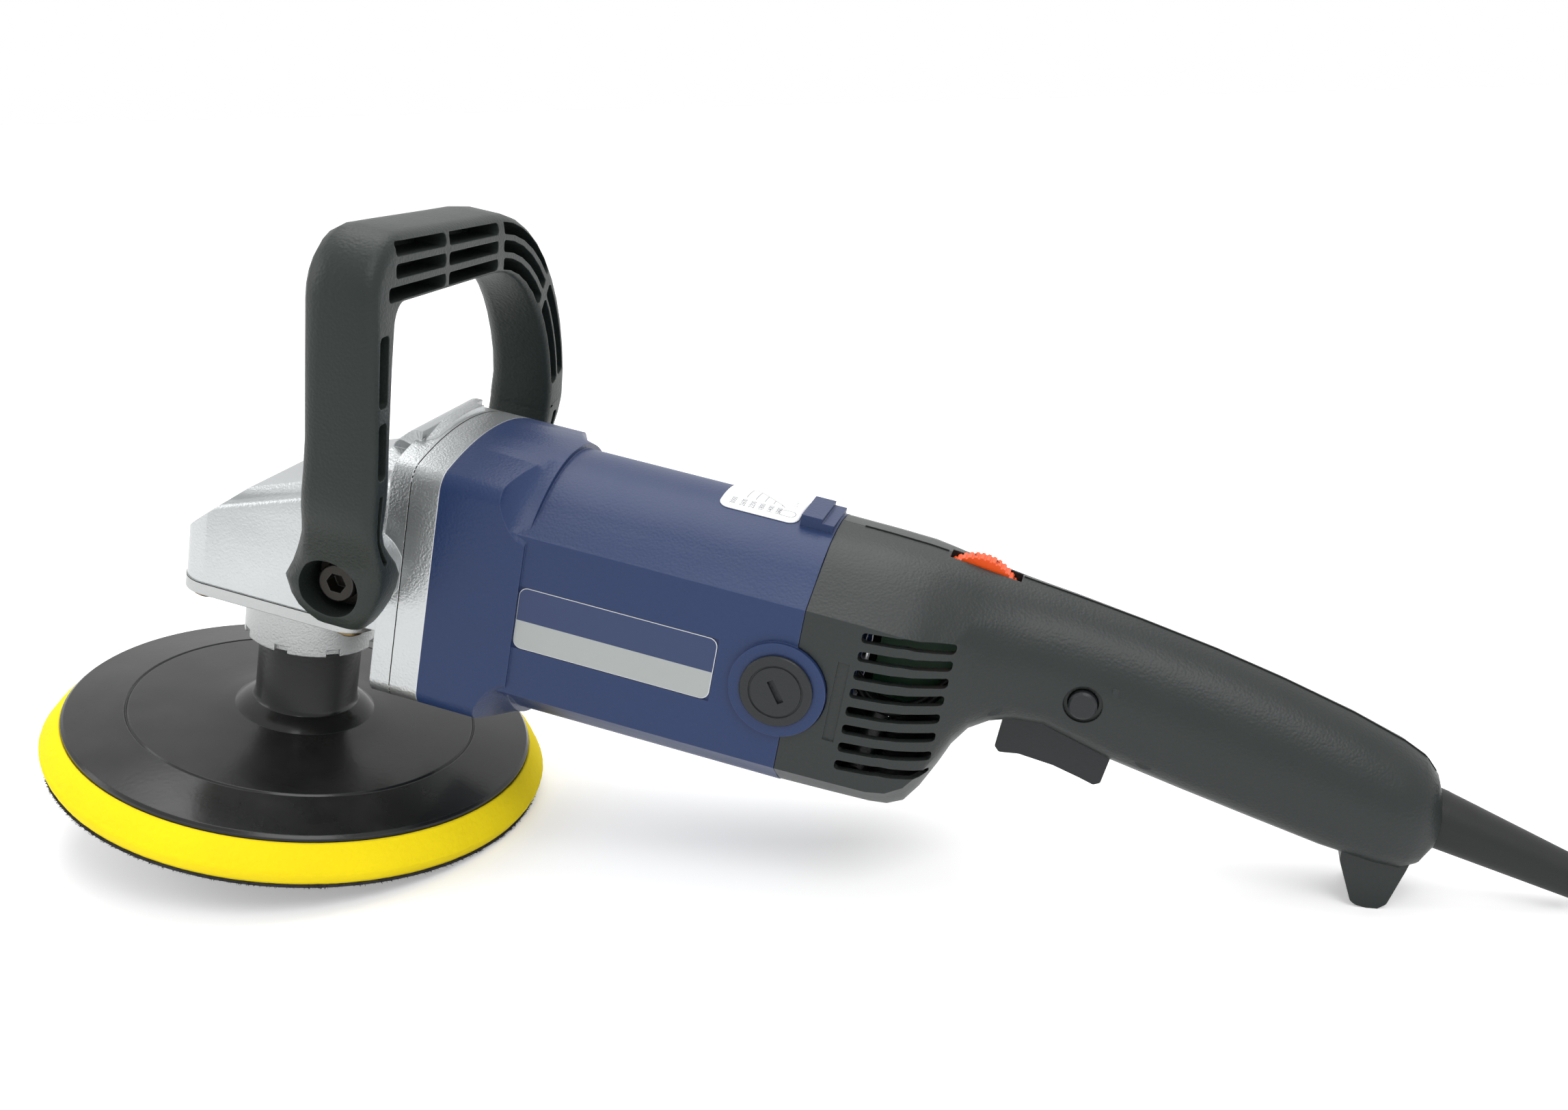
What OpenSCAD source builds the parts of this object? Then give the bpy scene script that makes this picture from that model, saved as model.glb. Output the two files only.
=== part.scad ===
// Rotary polisher: cast gear head with a side loop handle, moulded motor housing,
// two-part rear handle with trigger and speed dial, and a foam pad on a backing plate.
// Everything is drawn in the tool's own frame: origin at the middle of the pad's working
// face, +Z up the spindle, +X back along the motor to the grip, -Y to the near side.
// rest_pose() then lays the tool down on its pad edge and its tail foot.

/* [Pad] */
// Radius of the foam at its widest
pad_r = 90; // [80:1:100]
// Height of the foam's widest line above the working face
foam_rim_z = 6.3; // [5:0.1:8]
// Thickness of the hook layer under the foam
hook_t = 1.6; // [1:0.1:2.5]
// Radius of the backing plate
plate_r = 83.4; // [76:0.2:88]
// Height of the backing plate's upper edge
plate_edge_z = 16.7; // [15:0.1:18]
// Thickness of the backing plate at its edge
plate_t = 3.4; // [2.5:0.1:4]
// Radius of the groove on the backing plate
groove_r = 62; // [50:1:70]
// Radius of the moulded hub of the backing plate
hub_r = 18.1; // [16:0.1:19.5]

/* [Spindle] */
// Radius of the spindle's threaded nose
nose_r = 7; // [5:0.5:7]
// Radius of the spindle in the lower bearing
spindle_r = 7.5; // [7.5:0.25:8.5]
// Outer radius of the lower spindle bearing
low_bearing_r = 17.5; // [16:0.5:18]
// Outer radius of the upper spindle bearing
up_bearing_r = 11; // [9:0.5:11]

/* [Gears] */
// Teeth of the spindle bevel gear
gear_teeth = 40; // [32:4:48]
// Teeth of the bevel pinion
pinion_teeth = 10; // [8:1:12]
// Pitch radius of the spindle bevel gear
gear_pitch_r = 27; // [24:0.5:27]
// Length of the teeth along the cone
tooth_len = 8.5; // [6:0.5:9]

/* [Gear head] */
// Height of the motor axis above the working face
axis_z = 98; // [97:0.5:99]
// Half width of the gear housing
head_half = 35; // [34:0.5:37]
// Corner radius of the gear housing seen from above
head_corner = 11; // [9:0.5:13]
// Height of the joint between gear housing and bearing plate
plate_joint_z = 76.8; // [76:0.1:78]
// Thickness of the bearing plate
bearing_plate_t = 4.3; // [3.5:0.1:5]
// Radius of the neck collar
neck_r = 23.5; // [22:0.5:25]
// Height of the neck collar's lower face
neck_z = 53; // [52:0.5:55]
// Distance of the plate screws from the spindle, along X and Y
plate_screw_pitch = 27; // [25:0.5:28]

/* [Flange] */
// Half width of the flange
flange_half_y = 41; // [40:0.5:43]
// Half height of the flange at its middle
flange_half_z = 47.6; // [46:0.2:49]
// Corner radius of the flange
flange_corner = 7; // [4:0.5:10]
// Front face of the gear housing's flange
flange_x = 42.5; // [41.5:0.5:43.5]
// Joint between gear housing and bearing bracket
bracket_x = 49.5; // [49:0.5:51]
// Joint between bearing bracket and motor housing
motor_x = 59.5; // [58.5:0.5:61]

/* [Motor housing] */
// Radius of the round top and bottom of the motor housing
barrel_r = 46; // [45:0.5:47]
// Half width of the motor housing
barrel_half_y = 40; // [39:0.5:40.5]
// Wall of the motor housing
barrel_wall = 2.8; // [2:0.1:3.5]
// End of the flange-shaped front part
hump_x = 79; // [76:1:82]
// Start of the plain barrel
barrel_x = 90; // [87:1:93]
// Joint between motor housing and rear shell
rear_x = 182.6; // [180:0.2:185]
// Place of the brushes along the motor
brush_x = 178.8; // [177:0.2:180]
// Radius of the brush cap
cap_r = 11.9; // [11:0.1:13]
// Radius of the boss round the brush cap
boss_r = 15.8; // [15:0.1:17]

/* [Motor] */
// Radius of the armature core
core_r = 21.5; // [19:0.5:22]
// Gap between armature and stator
air_gap = 0.6; // [0.5:0.1:1]
// Front end of the stator stack
stack_x = 97; // [95:1:100]
// Length of the stator stack
stack_l = 50; // [40:1:54]
// Radius of the commutator
comm_r = 14.5; // [12:0.5:15]
// Blades of the cooling fan
fan_blades = 11; // [7:1:15]
// Radius of the cooling fan
fan_r = 34; // [30:0.5:35]

/* [Rear shell] */
// Wall of the rear shell
shell_wall = 2.8; // [2.2:0.1:3.4]
// Half width of the grip
grip_half = 19.5; // [18:0.5:21]
// Vent slots on each side
vents = 8; // [5:1:9]
// Height of a vent slot
vent_h = 3.4; // [2.5:0.1:4]
// Distance between vent slots
vent_pitch = 6.35; // [5.8:0.05:6.6]
// Radius of the speed dial
dial_r = 14.4; // [13:0.1:16]
// Thickness of the speed dial
dial_t = 6; // [5:0.5:6.5]
// Radius of the lock button
lock_r = 4.6; // [4:0.1:5]
// Width of the trigger
trigger_w = 18; // [14:1:20]
// Height of the tail foot's sole above the pad's working face
foot_z = 64.8; // [62:0.2:67]

/* [Loop handle] */
// Distance of the handle bolts from the spindle
bolt_x = 37; // [36:0.5:38]
// Height of the handle bolts above the working face
bolt_z = 102.5; // [101:0.5:104]
// Half width of the loop outside
loop_half = 80.5; // [78:0.5:84]
// Height of the loop's top
loop_top = 217; // [205:1:225]
// Thickness of the grip bar
bar_t = 21.5; // [18:0.5:24]
// Depth of the slots in the back of the loop
slot_depth = 11; // [5:1:14]
// Rounding of the slots' corners
slot_round = 1.6; // [1:0.1:1.8]
// Radius of the handle bolt's shank
bolt_r = 4; // [3:0.5:4.5]

/* [Cord] */
// Diameter of the cord
cord_d = 7.5; // [7:0.1:8]
// Radius of the middle of the coil
coil_r = 41.25; // [41:0.25:45]
// Turns side by side in the coil
coil_columns = 4; // [3:1:4]
// Turns on top of each other in the coil
coil_layers = 4; // [4:1:4]

/* [Clearances] */
// Gap between pieces that only lie side by side
gap = 0.3; // [0.2:0.05:0.4]
// Radial clearance of a running fit
run_fit = 0.05; // [0.02:0.01:0.08]
// Gap between the two rear shell halves
split_gap = 0.2; // [0.1:0.05:0.3]
// Radial play of pieces that are seated in each other
seat = 0.05; // [0.02:0.01:0.1]

/* [Hidden] */
$fn = 72;

// rest pose
hook_r = pad_r - 1.5;
foot_x = 374;
tilt = atan2(foot_z, foot_x - hook_r);
floor_z = -hook_r * sin(tilt);

// heights on the spindle
plate_low_z = plate_joint_z - bearing_plate_t;
hub_top_z = neck_z - 1.2;
low_bearing_w = 11;
low_bearing_z = plate_low_z - low_bearing_w + 2;
gear_pitch_z = axis_z - gear_pitch_r * pinion_teeth / gear_teeth;
pinion_pitch_r = axis_z - gear_pitch_z;
module_size = 2 * gear_pitch_r / gear_teeth;
cavity_z = 92;
up_bearing_w = 7;
up_bearing_z = 105;
up_journal_r = 4;

// places along the motor axis
front_bearing_x = 50.8;
front_bearing_w = 8;
front_bearing_r = 14;
shaft_r = 6;
shaft_step_x = gear_pitch_r + 10;
pinion_shaft_r = 2.8;
rear_bearing_x = 191;
rear_bearing_w = 7;
rear_bearing_r = 11;
rear_journal_r = 4;
spigot_l = 5;

module rest_pose() { rotate([0, tilt, 0]) children(); }
// a shape drawn up +Z from x = 0 is turned to lie along +X at the motor axis
module along_motor(x) { translate([x, 0, axis_z]) rotate([90, 0, 90]) children(); }
// a shape drawn up +Z is turned to point to the near side (-Y)
module to_near(x, y, z) { translate([x, y, z]) rotate([90, 0, 0]) children(); }
// a shape drawn up +Z is turned to point to the far side (+Y)
module to_far(x, y, z) { translate([x, y, z]) rotate([-90, 0, 0]) children(); }
module both_sides() { children(); mirror([0, 1, 0]) children(); }
module ring(r_out, r_in, h) {
    difference() {
        cylinder(r = r_out, h = h);
        translate([0, 0, -1]) cylinder(r = r_in, h = h + 2);
    }
}

// ---------------------------------------------------------------- pad
module pad_hook() {
    color([0.16, 0.16, 0.17]) rest_pose() cylinder(r = hook_r, h = hook_t, $fn = 96);
}

module pad_foam() {
    color([0.98, 0.88, 0.05]) rest_pose()
        rotate_extrude($fn = 96) polygon([
            [0, hook_t], [hook_r - 0.5, hook_t], [pad_r - 0.6, foam_rim_z - 1.6], [pad_r, foam_rim_z],
            [pad_r - 0.8, foam_rim_z + 1.6], [plate_r + 0.6, plate_edge_z - plate_t + 1.4],
            [plate_r - 0.6, plate_edge_z - plate_t], [0, plate_edge_z - plate_t]]);
}

plate_rise = 3.1;
flare_z = 23.4;
flare_r = hub_r + 5.2;
insert_r = 12;
module backing_plate() {
    low = plate_edge_z - plate_t;
    color([0.07, 0.07, 0.075]) rest_pose() difference() {
        rotate_extrude($fn = 96) polygon([
            [0, low], [plate_r - 1.2, low], [plate_r, low + 1.2], [plate_r, plate_edge_z - 0.9],
            [plate_r - 1, plate_edge_z], [plate_r - 4.5, plate_edge_z + 0.5],
            [groove_r + 0.7, plate_edge_z + plate_rise - 0.1], [groove_r, plate_edge_z + plate_rise - 0.7],
            [groove_r - 0.7, plate_edge_z + plate_rise], [flare_r + 9, flare_z - 1.6],
            [flare_r + 1.5, flare_z - 0.6], [flare_r, flare_z + 0.8], [flare_r - 2.2, flare_z + 2.3],
            [hub_r + 0.8, flare_z + 3.4], [hub_r, flare_z + 5], [hub_r, hub_top_z - 0.8],
            [hub_r - 0.8, hub_top_z], [0, hub_top_z]]);
        translate([0, 0, flare_z - 0.05]) cylinder(r = insert_r + seat, h = hub_top_z);
    }
}

// threaded steel insert moulded into the hub
module pad_insert() {
    color([0.62, 0.63, 0.65]) rest_pose() difference() {
        translate([0, 0, flare_z]) cylinder(r = insert_r, h = hub_top_z - flare_z - 0.5);
        translate([0, 0, flare_z + 2]) cylinder(r = nose_r + seat, h = hub_top_z);
    }
}

// ---------------------------------------------------------------- spindle group
module spindle() {
    color([0.7, 0.71, 0.73]) rest_pose() union() {
        translate([0, 0, flare_z + 4]) cylinder(r = nose_r, h = hub_top_z - flare_z);
        translate([0, 0, hub_top_z - 0.5]) cylinder(r = spindle_r, h = 84 - hub_top_z);
        translate([0, 0, low_bearing_z + low_bearing_w + gap]) cylinder(r = spindle_r + 2, h = 76 - low_bearing_z - low_bearing_w - gap);
        translate([0, 0, 80]) cylinder(r = 6, h = 10);
        translate([0, 0, 88]) cylinder(r = up_journal_r, h = up_bearing_z + up_bearing_w - 88);
    }
}

// trapezoid teeth on a cone; cone_r is the pitch radius at the big end
module bevel_teeth(teeth, cone_r, other_r, length, add, ded) {
    tooth_w = PI * cone_r / teeth * 0.64;
    cone_d = sqrt(cone_r * cone_r + other_r * other_r);
    k = (cone_d - length) / cone_d;
    half = atan2(cone_r, other_r);
    for (i = [0 : teeth - 1])
        rotate([0, 0, 360 * i / teeth])
            rotate([0, half, 0])
                translate([0, 0, cone_d * k])
                    linear_extrude(height = length, scale = 1 / k)
                        polygon([[-ded * k, -tooth_w * k * 0.62], [-ded * k, tooth_w * k * 0.62],
                                 [add * k, tooth_w * k * 0.22], [add * k, -tooth_w * k * 0.22]]);
}

gear_hub_r = 12;
gear_bore_r = 6;
root_drop = 1.1 * module_size;
module spindle_gear() {
    small = 1 - tooth_len / sqrt(gear_pitch_r * gear_pitch_r + pinion_pitch_r * pinion_pitch_r);
    color([0.55, 0.56, 0.58]) rest_pose() difference() {
        union() {
            // the cone's tip lies on the motor axis; the teeth look up
            translate([0, 0, axis_z]) mirror([0, 0, 1])
                bevel_teeth(gear_teeth, gear_pitch_r, pinion_pitch_r, tooth_len, 0.78 * module_size, root_drop);
            rotate_extrude() polygon([
                [5, 84], [gear_pitch_r - 3, 84], [gear_pitch_r + 0.1, 86.5],
                [gear_pitch_r - 0.4, gear_pitch_z - root_drop + 0.5],
                [gear_pitch_r * small + 0.2, axis_z - (axis_z - gear_pitch_z + root_drop) * small + 0.2],
                [gear_pitch_r * small - 1.5, axis_z - (axis_z - gear_pitch_z + root_drop) * small],
                [gear_hub_r + 2, 89], [5, 89]]);
            translate([0, 0, 76]) cylinder(r = gear_hub_r, h = 12);
        }
        translate([0, 0, 60]) cylinder(r = gear_bore_r + seat, h = 60);
        translate([0, 0, 60]) cylinder(r = spindle_r + seat, h = 24);
    }
}

// shielded ball bearing drawn as one ring with a step between the races on each face
module bearing(r_out, r_in, w) {
    mid_out = r_in + (r_out - r_in) * 0.72;
    mid_in = r_in + (r_out - r_in) * 0.3;
    difference() {
        ring(r_out, r_in, w);
        translate([0, 0, -1]) ring(mid_out, mid_in, 1.6);
        translate([0, 0, w - 0.6]) ring(mid_out, mid_in, 1.6);
    }
}

module lower_bearing() {
    color([0.66, 0.67, 0.69]) rest_pose() translate([0, 0, low_bearing_z])
        bearing(low_bearing_r, spindle_r + run_fit, low_bearing_w);
}

module upper_bearing() {
    color([0.66, 0.67, 0.69]) rest_pose() translate([0, 0, up_bearing_z])
        bearing(up_bearing_r, up_journal_r + run_fit, up_bearing_w);
}

module dust_seal() {
    color([0.12, 0.12, 0.13]) rest_pose() translate([0, 0, neck_z + 2])
        ring(low_bearing_r, spindle_r + run_fit, low_bearing_z - neck_z - 2.4);
}

// ---------------------------------------------------------------- gear head
// square with rounded corners, all edges true lines and arcs
module round_square(w, h, r) {
    square([w - 2 * r, h], center = true);
    square([w, h - 2 * r], center = true);
    for (i = [-1, 1])
        for (j = [-1, 1])
            translate([i * (w / 2 - r), j * (h / 2 - r)]) circle(r = r);
}

crown_r = 116;
crown_c = crown_r - flange_half_z;
corner_y = flange_half_y - flange_corner;
corner_z = sqrt(pow(crown_r - flange_corner, 2) - corner_y * corner_y) - crown_c;
crown_end_y = corner_y + flange_corner * corner_y / (crown_r - flange_corner);
facet_a = 55;
facet_d = 45.7;
facet_low = (facet_d - barrel_half_y * cos(facet_a)) / sin(facet_a);
facet_high = (facet_d - 25 * cos(facet_a)) / sin(facet_a);

// flange outline: slightly crowned top and bottom, upright sides, round corners
module flange_outline() {
    intersection() {
        translate([0, -crown_c]) circle(r = crown_r, $fn = 360);
        translate([0, crown_c]) circle(r = crown_r, $fn = 360);
        square([2 * crown_end_y, 120], center = true);
    }
    square([2 * flange_half_y, 2 * corner_z], center = true);
    for (i = [-1, 1])
        for (j = [-1, 1])
            translate([i * corner_y, j * corner_z]) circle(r = flange_corner);
}
// barrel outline: round top and bottom, flat sides, sloping facets between them; o moves it in
module barrel_outline(o) {
    k = 1 - o / facet_d;
    intersection() {
        square([2 * (barrel_half_y - o), 120], center = true);
        union() {
            circle(r = barrel_r - o, $fn = 144);
            polygon([for (p = [[1, 0], [0, 1], [0, -1], [-1, 0], [-1, 2], [0, 3], [0, -3], [1, 2]]) facet_corner(p) * k]);
        }
    }
}
function facet_corner(p) =
    p == [1, 0] ? [barrel_half_y + 0.5, facet_low - 0.35] : p == [0, 1] ? [25, facet_high] :
    p == [0, -1] ? [-25, facet_high] : p == [-1, 0] ? [-barrel_half_y - 0.5, facet_low - 0.35] :
    p == [-1, 2] ? [-barrel_half_y - 0.5, 0.35 - facet_low] : p == [0, 3] ? [-25, -facet_high] :
    p == [0, -3] ? [25, -facet_high] : [barrel_half_y + 0.5, 0.35 - facet_low];

// the barrel outline as a distance from the motor axis
function fold(a) = a % 180 > 90 ? 180 - a % 180 : a % 180;
function barrel_ray(a) =
    let (q = fold(a))
    min(barrel_half_y / max(cos(q), 0.01), facet_d / cos(q - facet_a), q > facet_a ? barrel_r : 999);

// skin through rings of points that lie one behind the other along +X
module loft(rings) {
    n = len(rings[0]);
    m = len(rings);
    polyhedron(
        points = [for (r = rings) for (p = r) p],
        faces = concat(
            [[for (i = [0 : n - 1]) i]],
            [for (j = [0 : m - 2]) for (i = [0 : n - 1]) [j * n + i, (j + 1) * n + i, (j + 1) * n + (i + 1) % n]],
            [for (j = [0 : m - 2]) for (i = [0 : n - 1]) [j * n + i, (j + 1) * n + (i + 1) % n, j * n + (i + 1) % n]],
            [[for (i = [n - 1 : -1 : 0]) (m - 1) * n + i]]),
        convexity = 8);
}

// side view of the head: nose wall, long slope over the gears, steep rise to the flange
module head_profile() {
    offset(r = 4) offset(delta = -4) offset(r = -9) offset(delta = 9)
        polygon([[-head_half, plate_joint_z - 20], [-head_half, 93], [-12.6, 113.4], [26, 127.4], [33, 138.5],
                 [41, 146.1], [flange_x + 20, 146.1], [flange_x + 20, plate_joint_z - 20]]);
}
// section of the head across the tool, from the top of its side walls: they rise towards the flange
shoulder_x = -22;
shoulder_z = 103;
shoulder_rise = 19.5;
HALF_FRONT = [[0.2, 0], [-0.4, 1.7], [-1.7, 2.9], [-3.5, 3.6], [-7, 7.6], [-10.4, 16], [-12.6, 34]];
module head_front() {
    polygon(concat([[-head_half - 0.2, -90], [head_half + 0.2, -90]],
        [for (p = HALF_FRONT) [head_half + p[0], p[1]]],
        [for (i = [len(HALF_FRONT) - 1 : -1 : 0]) [-head_half - HALF_FRONT[i][0], HALF_FRONT[i][1]]]));
}
module head_block() {
    intersection() {
        translate([9.8, 0, plate_joint_z]) linear_extrude(height = 90) round_square(2 * head_half + 20, 2 * head_half, head_corner);
        translate([0, 60, 0]) rotate([90, 0, 0]) linear_extrude(height = 120) head_profile();
        translate([shoulder_x, 0, shoulder_z]) rotate([0, -shoulder_rise, 0]) translate([-60, 0, 0])
            rotate([90, 0, 90]) linear_extrude(height = 200) head_front();
        translate([-60, -60, plate_joint_z - 1]) cube([flange_x + 62, 120, 90]);
    }
}

cover_bore_r = 32;
gearbox_top = 104.6;
shaft_bore_r = 13;
housing_screw_y = 30;
housing_screw_z = 33;
handle_face_y = 48.8;
handle_boss_r = 12.4;
cove_r = flange_x - head_half - 0.5 - gap - 0.4;
module gear_housing() {
    color([0.76, 0.77, 0.78]) rest_pose() difference() {
        union() {
            head_block();
            along_motor(flange_x) linear_extrude(height = bracket_x - flange_x) flange_outline();
            // cove under the head where it turns down into the flange
            difference() {
                translate([head_half + 0.5 + gap, -24, plate_joint_z - cove_r]) cube([flange_x - head_half, 48, cove_r + 1]);
                translate([head_half + 0.5 + gap, -25, plate_joint_z - cove_r]) rotate([-90, 0, 0]) cylinder(r = cove_r, h = 50);
            }
            // seats for the loop handle
            difference() {
                both_sides() {
                    to_far(bolt_x, 20, bolt_z) cylinder(r = handle_boss_r, h = handle_face_y - 20);
                    to_far(bolt_x, 20, bolt_z) cylinder(r1 = handle_boss_r + 8, r2 = handle_boss_r, h = handle_face_y - 25);
                }
                translate([bracket_x - gap, -60, 60]) cube([40, 120, 90]);
            }
        }
        // gear chamber
        translate([0, 0, plate_joint_z - 1]) cylinder(r = cover_bore_r - 1.5, h = 93 - plate_joint_z + 1);
        translate([0, 0, 92.9]) cylinder(r1 = cover_bore_r - 1.5, r2 = shaft_bore_r + 1, h = gearbox_top - 92.9);
        translate([0, 0, up_bearing_z - 1]) cylinder(r = up_bearing_r + seat, h = up_bearing_w + 1.5);
        // passage of the pinion and seat of the bearing bracket's spigot
        along_motor(4) cylinder(r = shaft_bore_r, h = bracket_x);
        along_motor(bracket_x - spigot_l) cylinder(r = spigot_r + seat, h = spigot_l + 1);
        // threads of the plate screws, the housing screws and the handle bolts
        for (i = [-1, 1])
            for (j = [-1, 1]) {
                translate([i * plate_screw_pitch, j * plate_screw_pitch, plate_joint_z - 1]) cylinder(r = screw_r, h = 14);
                along_motor(flange_x - 12) translate([i * housing_screw_y, j * housing_screw_z, 0]) cylinder(r = screw_r + seat, h = 30);
            }
        for (i = [-1, 1]) {
            along_motor(flange_x - 30) translate([i * housing_screw_y, housing_screw_z, 0]) cylinder(r = screw_head_r + 0.6, h = 30);
            along_motor(flange_x - 12) translate([i * (housing_screw_y - 3), housing_screw_z + 3, 0]) rotate([0, 0, -38 * i]) cube([18, 8.6, 24.4], center = true);
        }
        both_sides() to_far(bolt_x, bolt_end_y - 2, bolt_z) cylinder(r = bolt_r + seat, h = 30);
    }
}

module bearing_plate() {
    color([0.7, 0.71, 0.72]) rest_pose() difference() {
        union() {
            translate([0, 0, plate_low_z]) linear_extrude(height = bearing_plate_t) round_square(2 * head_half + 0.6, 2 * head_half + 0.6, head_corner);
            translate([0, 0, neck_z]) cylinder(r = neck_r, h = plate_low_z - neck_z + 1);
            translate([0, 0, plate_low_z - 3]) cylinder(r1 = neck_r, r2 = neck_r + 3, h = 3);
            // register that centres the plate in the gear chamber
            translate([0, 0, plate_joint_z - 0.5]) ring(cover_bore_r - 1.5 - seat, cover_bore_r - 5, 3);
        }
        translate([0, 0, neck_z + 2]) cylinder(r = low_bearing_r + seat, h = 40);
        translate([0, 0, neck_z - 1]) cylinder(r = spindle_r + 5, h = 40);
        // notches round the neck's lower edge
        for (i = [0 : 7])
            rotate([0, 0, 45 * i + 1]) translate([0, -neck_r, neck_z]) cube([5, 4, 5], center = true);
        for (i = [-1, 1])
            for (j = [-1, 1])
                translate([i * plate_screw_pitch, j * plate_screw_pitch, plate_low_z - 1]) cylinder(r = screw_r + 0.2, h = 10);
    }
}

screw_r = 2.5;
screw_head_r = 4.6;
// pan-head screw with a cross slot: head below z = 0, shank above
module pan_screw(shank) {
    difference() {
        union() {
            translate([0, 0, -2.2]) cylinder(r = screw_head_r, h = 2.2);
            translate([0, 0, -3.2]) cylinder(r1 = screw_head_r - 1.6, r2 = screw_head_r, h = 1);
            translate([0, 0, -0.5]) cylinder(r = screw_r - 0.1, h = shank + 0.5);
        }
        for (a = [0, 90])
            rotate([0, 0, a]) translate([0, 0, -3.2]) cube([5.4, 1.1, 3], center = true);
    }
}

module plate_screws() {
    color([0.5, 0.42, 0.28]) rest_pose()
        for (i = [-1, 1])
            for (j = [-1, 1])
                translate([i * plate_screw_pitch, j * plate_screw_pitch, plate_low_z]) pan_screw(14);
}

spigot_r = 17;
module bearing_bracket() {
    color([0.72, 0.73, 0.74]) rest_pose() difference() {
        union() {
            along_motor(bracket_x) linear_extrude(height = motor_x - bracket_x) flange_outline();
            along_motor(bracket_x - spigot_l + 0.4) cylinder(r = spigot_r, h = spigot_l);
        }
        along_motor(front_bearing_x) cylinder(r = front_bearing_r + seat, h = 30);
        along_motor(bracket_x - spigot_l - 1) cylinder(r = shaft_r + 3, h = 30);
        // air outlets past the fan, in a ring round the bearing
        for (a = [20 : 35 : 160])
            for (s = [0, 180])
                along_motor(bracket_x + 4) rotate([0, 0, a + s]) translate([27, 0, 0]) round_slot(9, 6, 20);
        for (i = [-1, 1])
            for (j = [-1, 1])
                along_motor(bracket_x - 1) translate([i * housing_screw_y, j * housing_screw_z, 0]) cylinder(r = screw_r + seat, h = 30);
    }
}
module round_slot(l, w, h) {
    translate([-l / 2, -w / 2, 0]) cube([l, w, h]);
    translate([-l / 2, 0, 0]) cylinder(r = w / 2, h = h);
    translate([l / 2, 0, 0]) cylinder(r = w / 2, h = h);
}

// screws through the gear housing's flange and the bracket into the motor housing
module housing_screws() {
    color([0.45, 0.4, 0.3]) rest_pose()
        for (i = [-1, 1])
            for (j = [-1, 1])
                along_motor(flange_x) translate([i * housing_screw_y, j * housing_screw_z, 0]) pan_screw(28);
}

// ---------------------------------------------------------------- loop handle
lean = 5.81;
lean_z = 136;
lean_x = 56.1;
bar_depth = 24.5;
foot_out = 66.5;
foot_in = 5;
foot_x0 = 21.6;
leg_t = 13;
near_corner = 19;
far_a = loop_half - 8;
recess_y = 52;
recess_r = 10.1;
bolt_head_r = 6.3;
bolt_end_y = 27;
function clamp01(t) = max(0, min(1, t));
function smooth(t) = let (c = clamp01(t)) c * c * (3 - 2 * c);
function back_face(z) = lean_x - tan(lean) * (z - lean_z) - foot_in * smooth((146 - z) / 44) - (z < 112 ? pow(112 - z, 2) / 60 : 0);
function front_face(z) = z < 100 ? foot_x0 + pow(100 - z, 2) / 19 : foot_x0 + (back_face(150) - bar_depth - foot_x0) * smooth((z - 102) / 26) + min(0, back_face(z) - back_face(150));
function leg_out(z) = foot_out - (z < 100 ? pow(100 - z, 2) / 30 : 0) + (loop_half - foot_out) * smooth((z - 103) / 34);
function leg_in(z, top_in) = handle_face_y + gap / 3 + (top_in - handle_face_y) * smooth((z - 104) / 24);
LEG_Z = [88.5, 90.5, 93, 97, 102, 107, 112, 117, 122, 127, 132, 137, 143, 154, 166, 178];
near_in = 68.5;
far_in = 63.6;
// each row: outer y, outer z, inner y, inner z
function near_row(z) = [-leg_out(z), z, -leg_in(z, near_in) + (z > 150 ? (z - 150) / 14 : 0), z];
function near_bend_row(a) = [
    -loop_half + near_corner * (1 - cos(a)), loop_top - near_corner + near_corner * sin(a),
    -65.5 + 7 * (1 - cos(a)), loop_top - bar_t - 6.5 + 7 * sin(a)];
function bridge_row(y) = [y, loop_top - (y + 60) * 0.045, y, loop_top - bar_t + 0.5 - (y + 60) * 0.02];
function far_bend_row(a) = [
    8 + far_a * cos(a), 140 + (loop_top - 143) * sin(a),
    10 + (far_in - 10) * cos(a), 135 + (loop_top - bar_t - 136) * sin(a)];
function far_row(z) = [leg_out(z), z, leg_in(z, far_in), z];
LOOP = concat([for (z = LEG_Z) near_row(z)], [for (a = [0 : 15 : 90]) near_bend_row(a)],
    [for (y = [-44, -26, -8]) bridge_row(y)], [for (a = [88 : -8 : 0]) far_bend_row(a)],
    [for (i = [11 : -1 : 0]) far_row(LEG_Z[i])]);

function arc_points(cx, cy, r, a0) = [for (i = [0 : 4]) [cx + r * cos(a0 + 22.5 * i), cy + r * sin(a0 + 22.5 * i)]];
// rounded outline of the bar, w wide from inside to outside, d deep from front to back
function bar_section(w, d, z) =
    let (rf = min(11 - 5 * smooth((112 - z) / 12), w * 0.46, d * 0.4), rr = min(4.5, w * 0.35), ri = min(6, w * 0.4), rb = min(3, w * 0.3))
    concat(arc_points(w - rr, d - rr, rr, 0), arc_points(rb, d - rb, rb, 90),
           arc_points(ri, ri, ri, 180), arc_points(w - rf, rf, rf, 270));
function loop_ring(s) =
    let (w = norm([s[0] - s[2], s[1] - s[3]]), e = [s[0] - s[2], s[1] - s[3]] / w)
    let (zm = (s[1] + s[3]) / 2, f = front_face(zm), d = back_face(zm) - f)
    [for (p = bar_section(w, d, zm)) let (z = s[3] + e[1] * p[0])
        [f + p[1] + back_face(z) - back_face(zm), s[2] + e[0] * p[0], z]];

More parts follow.
